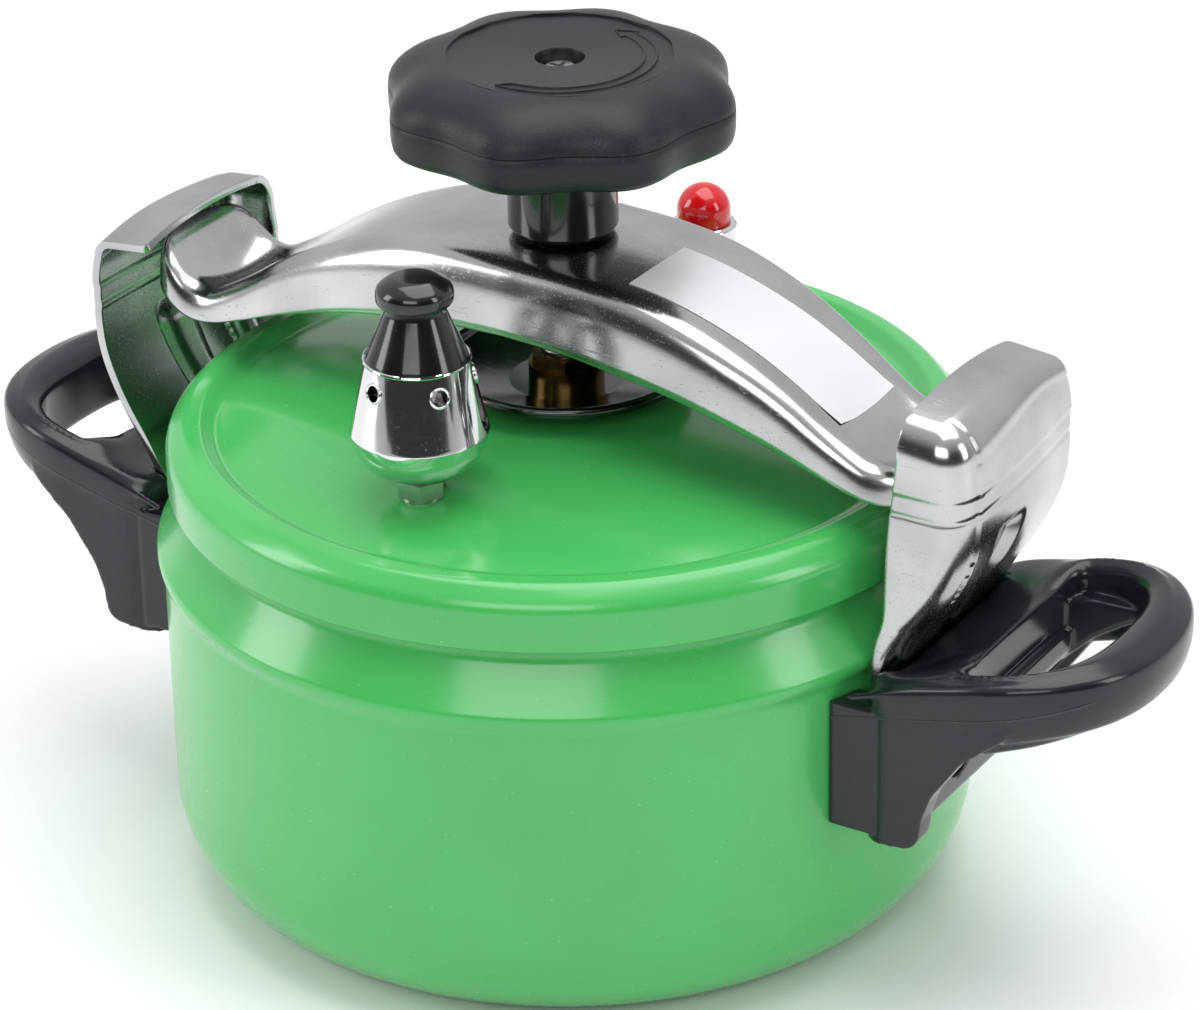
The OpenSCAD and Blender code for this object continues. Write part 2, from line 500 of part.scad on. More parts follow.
module knob_screw() {
  color([0.8, 0.8, 0.82]) translate([0, 0, knob_top - 2]) difference() {
    union() {
      translate([0, 0, -4]) cylinder(h = 2, r = 4.6);
      translate([0, 0, -2]) cylinder(h = 0.9, r1 = 4.6, r2 = 3.4);
      translate([0, 0, -22]) cylinder(h = 19, r = 2.5);
    }
    translate([-2.9, -0.6, -2.3]) cube([5.8, 1.2, 3]);
    translate([-0.6, -2.9, -2.3]) cube([1.2, 5.8, 3]);
  }
}

// ---- pressure weight ----

tube_z = hex_z + 23;           // mouth of the vent pipe, where the weight sits
wb = hex_z + 5.6;              // underside of the weight
cone_z = wb + 29;              // joint between chrome and black cone
module weight_body() {
  w = weight_radius;
  color([0.82, 0.82, 0.84]) translate([-wx, -wy, 0]) difference() {
    rotate_extrude() polygon([[4.1, wb], [w * 0.47, wb], [w * 0.74, wb + 2.6], [w * 0.91, wb + 6],
      [w * 0.985, wb + 9.2], [w, wb + 11.2], [w * 0.985, wb + 12.4], [w * 0.74, cone_z], [4.6, cone_z],
      [4.6, cone_z - 2.4],
      [4.1, cone_z - 2.4]]);
    for (a = [0 : 4]) rotate([0, 0, -34 + 72 * a]) translate([0, 0, wb + 24]) rotate([0, 96, 0])
      translate([0, 0, 3]) cylinder(h = 20, r = 2);
  }
}
module weight_cone() {
  color([0.09, 0.09, 0.1]) translate([-wx, -wy, 0]) rotate_extrude() polygon([[2 + fit, cone_z + fit],
    [weight_radius * 0.74, cone_z + fit], [weight_radius * 0.72, cone_z + 1.2], [7.2, cone_z + 12],
    [7, cone_z + 13], [2 + fit, cone_z + 13]]);
}
module weight_cap() {
  z = cone_z + 13 + fit;
  color([0.08, 0.08, 0.09]) translate([-wx, -wy, 0]) difference() {
    rotate_extrude() polygon([[0, z], [6.6, z], [8.2, z + 0.9], [9.1, z + 2.6], [9.1, z + 4], [8.1, z + 5.8],
      [5.8, z + 7], [3, z + 7.5], [0, z + 7.6]]);
    translate([0, 0, z - 1]) cylinder(h = 4, r = 2 + fit);
  }
}
module weight_needle() {
  color([0.75, 0.75, 0.77]) translate([-wx, -wy, 0]) rotate_extrude() polygon([[0, tube_z - 2.6],
    [0.3, tube_z - 2.6], [1.15, tube_z - 1], [1.15, tube_z], [4.0, tube_z], [4.0, cone_z - 2.4 + fit],
    [4.55, cone_z - 2.4 + fit],
    [4.55, cone_z - fit], [2, cone_z - fit], [2, cone_z + 15], [0, cone_z + 15]]);
}

pot_body();
left_ear();
right_ear();
left_handle();
right_handle();
left_studs();
right_studs();
left_screws();
right_screws();
lid();
gasket();
press_plate();
spindle_bush();
bush_cap();
vent_pipe();
vent_nut();
vent_filter();
float_bush();
float_nut();
beam();
beam_nut();
foil_label();
spindle();
knob();
knob_washer();
knob_screw();
weight_body();
weight_cone();
weight_cap();
weight_needle();
float_cap();
float_stem();
float_seal();
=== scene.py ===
"""Looks of a clamp-beam pressure canner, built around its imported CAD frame.

Shapes are worked out in millimetres and stored in metres. Names say which piece of the canner a
function makes; sizes come from the boxes of the CAD nodes.
"""

import math

import bpy
from mathutils import Matrix, Vector


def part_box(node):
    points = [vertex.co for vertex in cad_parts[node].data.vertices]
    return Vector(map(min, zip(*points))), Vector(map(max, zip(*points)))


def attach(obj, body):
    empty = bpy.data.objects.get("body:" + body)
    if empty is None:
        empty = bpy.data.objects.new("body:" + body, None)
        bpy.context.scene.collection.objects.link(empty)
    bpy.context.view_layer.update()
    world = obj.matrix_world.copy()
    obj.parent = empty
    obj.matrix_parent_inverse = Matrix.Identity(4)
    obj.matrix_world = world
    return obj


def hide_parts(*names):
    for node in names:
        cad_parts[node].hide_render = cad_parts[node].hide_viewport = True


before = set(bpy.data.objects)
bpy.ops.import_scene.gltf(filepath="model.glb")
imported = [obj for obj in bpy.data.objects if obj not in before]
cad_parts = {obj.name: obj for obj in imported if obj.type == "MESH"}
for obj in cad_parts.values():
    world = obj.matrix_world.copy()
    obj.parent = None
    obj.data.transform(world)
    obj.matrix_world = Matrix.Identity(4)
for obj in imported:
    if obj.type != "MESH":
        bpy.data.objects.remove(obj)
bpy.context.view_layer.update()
scene = bpy.context.scene
MM = 0.001


def low(node, axis=2):
    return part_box(node)[0][axis] / MM


def high(node, axis=2):
    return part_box(node)[1][axis] / MM


def centre_of(node):
    lowest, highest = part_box(node)
    return ((lowest.x + highest.x) / 2 / MM, (lowest.y + highest.y) / 2 / MM)


# ---- sizes, in millimetres ----

pot_r = round(high("pot_body", 0) - 1.3, 1)  # straight wall of the pot, inside its shoulder bead
rim = high("pot_body")
out = pot_r - 100  # how far the drawn pot stands off a 100 mm one
up = rim - 112  # how far its rim stands off 112 mm
lid_r = high("lid", 0) - 2.7  # inside of the lid's skirt
lid_mid = high("lid")
lid_edge = high("lid", 0)
skirt_z = low("lid")
dome_fall = lid_mid - rim - 6.2  # from the lid's middle down to the edge of its dome
beam_top = high("beam_nut")
tip = pot_r + 14.2  # half the beam's length
sheet = 2  # thickness of the ears and the beam
beam_half = high("beam", 1) - 0.4
ear_half = high("right_ear", 1)
hand_half = high("right_handle", 1)
reach = high("right_handle", 0) - pot_r
loop_x = 128 + out  # middle of a handle's loop
knob_top = high("knob")
knob_r = max(math.hypot(v.co.x, v.co.y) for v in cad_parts["knob"].data.vertices) / MM
hub_z = low("knob")
weight_at = centre_of("weight_cap")
float_at = centre_of("float_cap")
weight_r = (high("weight_body", 0) - low("weight_body", 0)) / 2
beam_turn = -math.asin((ear_half - 3.6 - 0.735 * beam_half) / (pot_r + 4))  # each end beside a closed wall


# ---- camera, light and floor ----

def make_camera():
    """A long lens at table height and a little above, as a product shot is taken."""
    azimuth, pitch, yaw, roll = (math.radians(a) for a in (32.31, 26.72, -0.42, -1.06))
    distance, height = 1.02245, 0.60739
    bpy.ops.object.camera_add()
    camera = bpy.context.object
    camera.name = "camera"
    place = Vector((distance * math.sin(azimuth), -distance * math.cos(azimuth), height))
    heading = azimuth + yaw
    level = math.cos(pitch)
    forward = Vector((-math.sin(heading) * level, math.cos(heading) * level, -math.sin(pitch)))
    right = forward.cross(Vector((0, 0, 1))).normalized()
    above = right.cross(forward)
    side = math.cos(roll) * right + math.sin(roll) * above
    head = -math.sin(roll) * right + math.cos(roll) * above
    turn = Matrix((side, head, -forward)).transposed()
    camera.matrix_world = Matrix.Translation(place) @ turn.to_4x4()
    camera.data.sensor_width = 36
    camera.data.lens = 139.6
    camera.data.clip_start = 0.05
    scene.camera = camera


def softbox(name, place, target, size, power):
    bpy.ops.object.light_add(type="AREA", location=place)
    lamp = bpy.context.object
    lamp.name = name
    lamp.data.shape = "RECTANGLE"
    lamp.data.size, lamp.data.size_y = size
    lamp.data.energy = power
    lamp.rotation_euler = (Vector(target) - Vector(place)).to_track_quat("-Z", "Y").to_euler()
    return lamp


make_camera()


# ---- drawing helpers ----

def fresh():
    """Leaves edit mode with nothing selected, because operators act on all that is."""
    if bpy.context.object and bpy.context.object.mode != "OBJECT":
        bpy.ops.object.mode_set(mode="OBJECT")
    bpy.ops.object.select_all(action="DESELECT")


def only(piece):
    fresh()
    piece.select_set(True)
    bpy.context.view_layer.objects.active = piece


def named(name):
    piece = bpy.context.object
    piece.name = name
    piece.data.name = name
    return piece


def settle(piece):
    """Puts the piece's place into its mesh."""
    only(piece)
    bpy.ops.object.transform_apply(location=True, rotation=True, scale=True)
    return piece


def rounded(corners, closed=False, step=10):
    """Corners of (x, y, radius): each becomes an arc that runs smoothly into both of its sides."""
    points = []
    last = len(corners) - 1
    for i, (x, y, radius) in enumerate(corners):
        here = Vector((x, y))
        if radius == 0 or (not closed and i in (0, last)):
            points.append((x, y))
            continue
        before = Vector(corners[i - 1][:2]) - here
        after = Vector(corners[(i + 1) % len(corners)][:2]) - here
        half = before.angle(after) / 2
        along = min(radius / math.tan(half), 0.49 * before.length, 0.49 * after.length)
        bend = along * math.tan(half)
        middle = here + (before.normalized() + after.normalized()).normalized() * (bend / math.sin(half))
        start = here + before.normalized() * along - middle
        end = here + after.normalized() * along - middle
        first = math.atan2(start.y, start.x)
        swing = (math.atan2(end.y, end.x) - first + math.pi) % math.tau - math.pi
        count = max(2, math.ceil(abs(math.degrees(swing)) / step))
        for k in range(count + 1):
            angle = first + swing * k / count
            points.append((middle.x + bend * math.cos(angle), middle.y + bend * math.sin(angle)))
    return points


def curve(table, at):
    """Smooth value through a short table of (place, value), flat outside its ends."""
    if at <= table[0][0]:
        return table[0][1]
    if at >= table[-1][0]:
        return table[-1][1]
    i = max(k for k in range(len(table) - 1) if table[k][0] <= at)

    def slope(k):
        a, b = table[max(k - 1, 0)], table[min(k + 1, len(table) - 1)]
        return (b[1] - a[1]) / (b[0] - a[0])

    width = table[i + 1][0] - table[i][0]
    t = (at - table[i][0]) / width
    return (
        (1 + 2 * t) * (1 - t) ** 2 * table[i][1]
        + t * (1 - t) ** 2 * width * slope(i)
        + t * t * (3 - 2 * t) * table[i + 1][1]
        + t * t * (t - 1) * width * slope(i + 1)
    )


def flowing(points, parts):
    """Closed loop of points with extra ones between them, on a smooth curve through all."""
    made = []
    count = len(points)
    for i in range(count):
        p = [Vector(points[(i + k) % count]) for k in (-1, 0, 1, 2)]
        for k in range(parts):
            t = k / parts
            made.append(
                p[1]
                + 0.5 * t * (p[2] - p[0] + t * (2 * p[0] - 5 * p[1] + 4 * p[2] - p[3]
                + t * (3 * (p[1] - p[2]) + p[3] - p[0])))
            )
    return made


def step_up(value, start, end):
    """0 before start, 1 after end, smooth between."""
    t = min(1, max(0, (value - start) / (end - start)))
    return t * t * (3 - 2 * t)


def turned(name, outline, centre=(0, 0), steps=128):
    """An outline of (radius, height), drawn by extruding one point, then spun about its axis."""
    fresh()
    x, y = centre
    r, z = outline[0]
    bpy.ops.mesh.primitive_plane_add(size=MM, location=((x + r) * MM, y * MM, z * MM))
    piece = named(name)
    bpy.ops.object.mode_set(mode="EDIT")
    bpy.ops.mesh.merge(type="CENTER")
    for (r0, z0), (r1, z1) in zip(outline, outline[1:]):
        bpy.ops.mesh.extrude_vertices_move(
            TRANSFORM_OT_translate={"value": ((r1 - r0) * MM, 0, (z1 - z0) * MM)}
        )
    bpy.ops.mesh.select_all(action="SELECT")
    bpy.ops.mesh.spin(steps=steps, angle=math.tau, center=(x * MM, y * MM, 0), axis=(0, 0, 1))
    bpy.ops.mesh.select_all(action="SELECT")
    bpy.ops.mesh.remove_doubles(threshold=0.002 * MM)
    bpy.ops.mesh.normals_make_consistent(inside=False)
    bpy.ops.object.mode_set(mode="OBJECT")
    return settle(piece)


def lofted(name, loops, close=False):
    """A grid laid over equally long rows of points; close joins each row's end to its start."""
    fresh()
    rows, columns = len(loops), len(loops[0]) + (1 if close else 0)
    bpy.ops.mesh.primitive_grid_add(x_subdivisions=columns - 1, y_subdivisions=rows - 1, size=1)
    piece = named(name)
    for corner in piece.data.vertices:
        i = round((corner.co.y + 0.5) * (rows - 1))
        j = round((corner.co.x + 0.5) * (columns - 1))
        corner.co = Vector(loops[i][j % len(loops[0])]) * MM
    bpy.ops.object.mode_set(mode="EDIT")
    bpy.ops.mesh.select_all(action="SELECT")
    bpy.ops.mesh.remove_doubles(threshold=0.003 * MM)
    if close:
        bpy.ops.mesh.normals_make_consistent(inside=False)
    bpy.ops.object.mode_set(mode="OBJECT")
    return piece


def prism(name, outline, depth, at=(0, 0, 0), turn=(0, 0, 0)):
    """A flat outline extruded by depth, then turned and moved."""
    fresh()
    x, y = outline[0]
    bpy.ops.mesh.primitive_plane_add(size=MM, location=(x * MM, y * MM, 0))
    piece = named(name)
    bpy.ops.object.mode_set(mode="EDIT")
    bpy.ops.mesh.merge(type="CENTER")
    for (x0, y0), (x1, y1) in zip(outline, list(outline[1:]) + [outline[0]]):
        bpy.ops.mesh.extrude_vertices_move(
            TRANSFORM_OT_translate={"value": ((x1 - x0) * MM, (y1 - y0) * MM, 0)}
        )
    bpy.ops.mesh.select_all(action="SELECT")
    bpy.ops.mesh.remove_doubles(threshold=0.002 * MM)
    bpy.ops.mesh.edge_face_add()
    bpy.ops.mesh.extrude_region_move(TRANSFORM_OT_translate={"value": (0, 0, depth * MM)})
    bpy.ops.mesh.select_all(action="SELECT")
    bpy.ops.mesh.normals_make_consistent(inside=False)
    bpy.ops.object.mode_set(mode="OBJECT")
    settle(piece)
    piece.rotation_euler = [math.radians(a) for a in turn]
    piece.location = Vector(at) * MM
    return settle(piece)


def across(name, outline, y, width):
    """A side view of (x, z) extruded from y towards -Y. It is drawn for a pot of radius 100 and height 112,
    and moved to suit this one."""
    fitted = [(x + out, z + up) for x, z in outline]
    return prism(name, fitted, width, at=(0, y, 0), turn=(90, 0, 0))


def rod(name, radius, start, end, sides=64, tip_radius=None):
    """A round bar or a cone between two points."""
    fresh()
    a, b = Vector(start) * MM, Vector(end) * MM
    bpy.ops.mesh.primitive_cone_add(
        vertices=sides, radius1=radius * MM, radius2=(radius if tip_radius is None else tip_radius) * MM,
        depth=(b - a).length, location=(a + b) / 2, rotation=(b - a).to_track_quat("Z", "Y").to_euler(),
    )
    return settle(named(name))


def wire(name, points, radius, closed=False):
    """A round wire along points, drawn by extruding one point and giving the line a bevel."""
    fresh()
    bpy.ops.mesh.primitive_plane_add(size=MM, location=Vector(points[0]) * MM)
    piece = named(name)
    bpy.ops.object.mode_set(mode="EDIT")
    bpy.ops.mesh.merge(type="CENTER")
    for a, b in zip(points, points[1:] + (points[:1] if closed else [])):
        bpy.ops.mesh.extrude_vertices_move(
            TRANSFORM_OT_translate={"value": (Vector(b) - Vector(a)) * MM}
        )
    bpy.ops.mesh.select_all(action="SELECT")
    bpy.ops.mesh.remove_doubles(threshold=0.002 * MM)
    bpy.ops.object.mode_set(mode="OBJECT")
    settle(piece)
    bpy.ops.object.convert(target="CURVE")
    piece = bpy.context.object
    piece.data.bevel_depth = radius * MM
    piece.data.bevel_resolution = 2
    piece.data.use_fill_caps = True
    bpy.ops.object.convert(target="MESH")
    bpy.ops.object.mode_set(mode="EDIT")
    bpy.ops.mesh.select_all(action="SELECT")
    bpy.ops.mesh.remove_doubles(threshold=0.002 * MM)
    bpy.ops.mesh.normals_make_consistent(inside=False)
    bpy.ops.object.mode_set(mode="OBJECT")
    return named(name)


def apply_all(piece):
    only(piece)
    for modifier in list(piece.modifiers):
        bpy.ops.object.modifier_apply(modifier=modifier.name)
    return piece


def shaped(piece, kind, **settings):
    """Adds one modifier with its settings and applies it."""
    modifier = piece.modifiers.new(kind.lower(), kind)
    for key, value in settings.items():
        setattr(modifier, key, value)
    return apply_all(piece)


def cut(piece, *cutters, operation="DIFFERENCE"):
    """Takes each cutter out of the piece, or joins it on, and removes the cutter."""
    for cutter in cutters:
        shaped(piece, "BOOLEAN", operation=operation, solver="EXACT", object=cutter)
        bpy.data.objects.remove(cutter)
    return piece


def joined(name, *pieces):
    fresh()
    for piece in pieces:
        piece.select_set(True)
    bpy.context.view_layer.objects.active = pieces[0]
    bpy.ops.object.join()
    return named(name)


def half_turn(piece, name):
    """A copy on the other side of the pot, with its own mesh."""
    only(piece)
    bpy.ops.object.duplicate()
    copy = named(name)
    bpy.ops.transform.rotate(value=math.pi, orient_axis="Z", center_override=(0, 0, 0))
    return settle(copy)


def finished(piece, finish, body, slot, *nodes, angle=35):
    """Smooth shading, material and body of a piece, and the CAD nodes that it stands for; slot is not used.
    """
    only(piece)
    bpy.ops.object.shade_smooth_by_angle(angle=math.radians(angle))
    piece.data.materials.clear()
    piece.data.materials.append(finish)
    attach(piece, body)
    if nodes:
        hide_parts(*nodes)
    return piece


# ---- shader expressions ----

class Wave:
    """A shader socket that takes part in Python expressions; each operator adds one Math node."""

    def __init__(self, finish, socket):
        self.finish, self.socket = finish, socket

    def math(self, operation, *values):
        return self.finish.node("ShaderNodeMath", {"operation": operation}, dict(enumerate(values)))

    def __add__(self, other):
        return self.math("ADD", self, other)

    def __sub__(self, other):
        return self.math("SUBTRACT", self, other)

    def __rsub__(self, other):
        return self.math("SUBTRACT", other, self)

    def __mul__(self, other):
        return self.math("MULTIPLY", self, other)

    __radd__, __rmul__ = __add__, __mul__

    def over(self, start, end):
        """0 where the value is under start and 1 above end, smooth between."""
        return self.finish.node(
            "ShaderNodeMapRange", {"interpolation_type": "SMOOTHSTEP"},
            {"Value": self, "From Min": start, "From Max": end},
        )

    def size(self):
        return self.math("ABSOLUTE", self)


def colour_socket(sockets, name):
    """The colour socket of that name on a Mix node, which has number and vector ones of the same name."""
    return next(s for s in sockets if s.name == name and s.type == "RGBA")


class Finish:
    """A material whose constants sit on the shader's own sockets and whose patterns are in millimetres."""

    def __init__(self, name, **constants):
        self.material = bpy.data.materials.new(name)
        self.material.use_nodes = True
        self.tree = self.material.node_tree
        self.shader = self.tree.nodes["Principled BSDF"]
        for key, value in constants.items():
            self.shader.inputs[key.replace("_", " ")].default_value = value
        coordinates = self.node("ShaderNodeTexCoord", output="Object")
        self.place = self.node(
            "ShaderNodeVectorMath", {"operation": "SCALE"}, {"Vector": coordinates, "Scale": 1000.0}
        )

    def node(self, kind, settings=None, inputs=None, output=0):
        made = self.tree.nodes.new(kind)
        for key, value in (settings or {}).items():
            setattr(made, key, value)
        for key, value in (inputs or {}).items():
            if isinstance(value, Wave):
                self.tree.links.new(value.socket, made.inputs[key])
            else:
                made.inputs[key].default_value = value
        return Wave(self, made.outputs[output])

    def axis(self, letter):
        return self.node("ShaderNodeSeparateXYZ", None, {"Vector": self.place}, letter)

    def noise(self, size, detail=2.0, stretch=(1, 1, 1), roughness=0.5):
        """Cloudy pattern from 0 to 1 whose spots are about size millimetres across."""
        place = self.node(
            "ShaderNodeVectorMath", {"operation": "MULTIPLY"},
            {0: self.place, 1: [1 / (size * s) for s in stretch]},
        )
        return self.node(
            "ShaderNodeTexNoise", None,
            {"Vector": place, "Scale": 1.0, "Detail": detail, "Roughness": roughness},
        )

    def mix(self, share, a, b):
        """Colour a where share is 0 and b where it is 1."""
        made = self.tree.nodes.new("ShaderNodeMix")
        made.data_type = "RGBA"
        self.tree.links.new(share.socket, made.inputs["Factor"])
        for name, colour in (("A", a), ("B", b)):
            socket = colour_socket(made.inputs, name)
            if isinstance(colour, Wave):
                self.tree.links.new(colour.socket, socket)
            else:
                socket.default_value = (*colour, 1)
        return Wave(self, colour_socket(made.outputs, "Result"))

    def set(self, **values):
        for key, value in values.items():
            self.tree.links.new(value.socket, self.shader.inputs[key.replace("_", " ")])
        return self

    def bump(self, height, depth, strength=1.0):
        """Relief of depth millimetres where height goes from 0 to 1."""
        normal = self.node(
            "ShaderNodeBump", None, {"Height": height, "Distance": depth * MM, "Strength": strength}, "Normal"
        )
        return self.set(Normal=normal)


def tint(colour, share):
    return tuple(min(1, c * share) for c in colour)


# ---- materials ----

def enamel():
    green = (0.058, 0.45, 0.10)
    f = Finish("green_enamel", IOR=1.5, Coat_Weight=0.35, Coat_Roughness=0.12, Specular_IOR_Level=0.5)
    cloud = f.noise(45, 3)
    speck = f.noise(0.9, 1).over(0.74, 0.8)
    ripple = f.noise(3.2, 2)
    body = f.mix(cloud.over(0.3, 0.7), tint(green, 0.96), tint(green, 1.05))
    f.set(
        Base_Color=f.mix(speck * 0.12, body, (0.30, 0.62, 0.32)),
        Roughness=0.20 + cloud * 0.08 + speck * 0.15,
    )
    return f.bump(ripple + f.noise(14, 1) * 1.6, 0.012).material


def steel(name, colour, rough, grain=(14, 1, 1), dust=1.0):
    """Sheet steel with its brushing along the first axis, a few scratches and patches of fine dust."""
    f = Finish(name, Metallic=1.0, Specular_IOR_Level=0.5)
    brushed = f.noise(0.5, 2, grain, 0.6)
    scratch = f.noise(0.9, 2, (26, 0.5, 0.9), 0.75).over(0.62, 0.72)
    smear = f.noise(22, 3)
    grit = f.noise(0.55, 1).over(0.60, 0.75)
    patch = f.noise(30, 2).over(0.42, 0.62)
    f.set(
        Base_Color=f.mix(smear.over(0.3, 0.75) * 0.6 + scratch * 0.25, colour, tint(colour, 0.66)),
        Roughness=rough + brushed * 0.07 + smear * 0.08 + scratch * 0.12 + grit * patch * (0.16 * dust),
    )
    relief = brushed * 0.5 + scratch * -0.8 + grit * patch * (0.9 * dust) + f.noise(9, 2) * 5
    return f.bump(relief, 0.006).material


def chrome():
    f = Finish("chrome", Metallic=1.0)
    smear = f.noise(7, 3)
    pits = f.noise(0.35, 1).over(0.68, 0.8)
    f.set(
        Base_Color=f.mix(smear, (0.80, 0.80, 0.81), (0.66, 0.66, 0.67)),
        Roughness=0.03 + smear * 0.05 + pits * 0.2,
    )
    return f.bump(smear + pits * 0.5, 0.004).material


def plain_steel():
    f = Finish("plain_steel", Metallic=1.0)
    turned_marks = f.noise(0.3, 2, (5, 5, 0.6))
    smear = f.noise(5, 3)
    f.set(
        Base_Color=f.mix(smear, (0.66, 0.655, 0.65), (0.47, 0.46, 0.45)),
        Roughness=0.20 + turned_marks * 0.14 + smear * 0.08,
    )
    return f.bump(turned_marks, 0.01).material


def brass():
    f = Finish("brass", Metallic=1.0)
    smear = f.noise(4, 3)
    marks = f.noise(0.35, 2, (6, 6, 0.5))
    f.set(
        Base_Color=f.mix(smear.over(0.3, 0.8), (0.32, 0.21, 0.065), (0.10, 0.062, 0.022)),
        Roughness=0.14 + marks * 0.16,
    )
    return f.bump(marks, 0.01).material


def bakelite():
    """Black moulded plastic with a fine grain and the line where the two halves of its mould met."""
    f = Finish("black_bakelite", IOR=1.5, Specular_IOR_Level=0.45)
    along = f.axis("X").size()
    height = f.axis("Z")
    parting = (along - (98.0 + out)) * 0.247 + (78.4 + up)
    line = 1 - (parting - height).size().over(0.10, 0.42)
    outside = f.axis("Y").size().over(hand_half - 14, hand_half - 10)
    seam = line * outside
    cloud = f.noise(16, 3)
    grain = f.noise(0.28, 2)
    dust = f.noise(0.8, 1).over(0.70, 0.78)
    greyed = seam * 0.5 + dust * 0.12 + cloud * 0.3
    f.set(
        Base_Color=f.mix(greyed, (0.008, 0.008, 0.013), (0.042, 0.042, 0.056)),
        Roughness=0.12 + cloud * 0.10 + grain * 0.04 + seam * 0.2,
    )
    return f.bump(grain * 0.4 + seam * 9 + cloud * 2, 0.012).material


def knob_black():
    f = Finish("knob_black", IOR=1.45, Specular_IOR_Level=0.35)
    grain = f.noise(0.42, 2, (1, 1, 1), 0.6)
    fine = f.noise(0.16, 1)
    cloud = f.noise(12, 3)
    height = f.axis("Z")
    # The band round the upper shoulder, where the light catches the knob, is greyed with ticks: partly wear,
    # partly painted highlight.
    side = (height - (knob_top - 7.5)).size().over(5.5, 2.0)
    ticks = f.noise(0.5, 1, (1, 1, 9)).over(0.6, 0.72)
    wear_and_painted_sheen = f.noise(6, 2).over(0.5, 0.62) * side * ticks
    greyed = grain * 0.3 + cloud * 0.3 + wear_and_painted_sheen * 0.7
    f.set(
        Base_Color=f.mix(greyed, (0.006, 0.0062, 0.009), (0.032, 0.033, 0.042)),
        Roughness=0.22 + grain * 0.16 + cloud * 0.06,
    )
    return f.bump(grain + fine * 0.5, 0.075).material


def gloss_black():
    f = Finish("gloss_black", IOR=1.5, Coat_Weight=0.3, Coat_Roughness=0.02, Specular_IOR_Level=0.5)
    smear = f.noise(6, 3)
    speck = f.noise(0.7, 1).over(0.72, 0.78)
    f.set(
        Base_Color=f.mix(smear * 0.5 + speck * 0.4, (0.004, 0.004, 0.005), (0.02, 0.02, 0.024)),
        Roughness=0.11 + smear * 0.08 + speck * 0.2,
    )
    return f.bump(smear, 0.02).material


def red_plastic():
    f = Finish("red_plastic", IOR=1.49, Coat_Weight=0.4, Coat_Roughness=0.03, Subsurface_Weight=0.04)
    cloud = f.noise(3, 2)
    f.set(
        Base_Color=f.mix(cloud, (0.72, 0.006, 0.012), (0.55, 0.004, 0.009)),
        Roughness=0.10 + cloud * 0.08,
    )
    return f.bump(cloud, 0.01).material


def rubber(name, colour):
    f = Finish(name, IOR=1.5)
    grain = f.noise(0.5, 3)
    cloud = f.noise(8, 2)
    f.set(
        Base_Color=f.mix(cloud, colour, tint(colour, 1.5)),
        Roughness=0.5 + grain * 0.2,
    )
    return f.bump(grain, 0.03).material


def foil():
    f = Finish("foil", Metallic=0.35, IOR=1.5, Coat_Weight=0.25, Coat_Roughness=0.12)
    crease = f.noise(7, 3, (1, 3, 1))
    cloud = f.noise(18, 2)
    f.set(
        Base_Color=f.mix(cloud, (0.86, 0.86, 0.88), (0.78, 0.78, 0.81)),
        Roughness=0.26 + cloud * 0.1,
    )
    return f.bump(crease, 0.12).material


GREEN = enamel()
STEEL = steel("polished_steel", (0.54, 0.54, 0.55), 0.11)
# A darker copy of the polished steel for the saucer: painted shade from the beam above it.
SHADED_STEEL = steel("saucer_steel_painted_shade", (0.08, 0.08, 0.083), 0.07, (1, 1, 1), 0.5)
CHROME = chrome()
PLAIN = plain_steel()
BRASS = brass()
BAKELITE = bakelite()
KNOB = knob_black()
GLOSS = gloss_black()
RED = red_plastic()
GASKET = rubber("gasket_rubber", (0.035, 0.035, 0.037))
SEAL = rubber("seal_rubber", (0.36, 0.09, 0.04))
FOIL = foil()


# ---- pot ----

def pot():
    outline = rounded([
        (0, 0, 0), (pot_r, 0, 25), (pot_r, rim - 28, 6), (pot_r + 2.1, rim - 24, 4.2),
        (pot_r - 6, rim - 11.4, 6), (pot_r - 6, rim, 0.7), (pot_r - 8.8, rim, 0.7),
        (pot_r - 8.8, rim - 12.6, 6), (pot_r - 0.8, rim - 24.4, 3), (pot_r - 2.8, rim - 28, 6),
        (pot_r - 2.8, 2.8, 22.2), (0, 2.8, 0),
    ], step=6)
    piece = turned("pot_shell", outline, steps=160)
    return finished(piece, GREEN, "pot", "green_enamel", "pot_body", angle=60)


# ---- lid ----

def dome_z(r):
    return lid_mid - dome_fall * (r / (lid_r - 10.5)) ** 2


def lid():
    dome = [(r, dome_z(r)) for r in range(0, int(lid_r - 14), 6)]
    edge = rounded([
        (lid_r - 15, dome_z(lid_r - 15), 0), (lid_r - 9.7, rim + 5.6, 3), (lid_r - 5.9, rim + 8.1, 2.2),
        (lid_r - 1.7, rim + 7.8, 4), (lid_edge, rim + 3.6, 6), (lid_edge, skirt_z, 1.0),
        (lid_r, skirt_z, 0.9), (lid_r, rim + 3.2, 2), (lid_r - 3.5, rim + 5.8, 2),
        (lid_r - 6.5, rim + 5.4, 2), (lid_r - 9.4, rim + 3.6, 2), (lid_r - 15, dome_z(lid_r - 15) - 2.2, 0),
    ], step=8)
    under = [(r, dome_z(r) - 2.2) for r in range(int(lid_r - 15) // 6 * 6, -1, -6)]
    piece = turned("lid_shell", dome + edge + under, steps=160)
    hex_z = dome_z(61) + 0.3
    cut(
        piece,
        rod("bore", 6.05, (0, 0, rim), (0, 0, rim + 40)),
        rod("bore", 5.05, (*weight_at, rim), (*weight_at, rim + 40)),
        rod("bore", 5.55, (*float_at, rim), (*float_at, rim + 40)),
        rod("seat", 6.4, (*weight_at, hex_z), (*weight_at, hex_z + 20)),
        rod("seat", 10.4, (*float_at, dome_z(62.5) + 0.3), (*float_at, hex_z + 20)),
    )
    return finished(piece, GREEN, "lid_assembly", "green_enamel", "lid", angle=50)


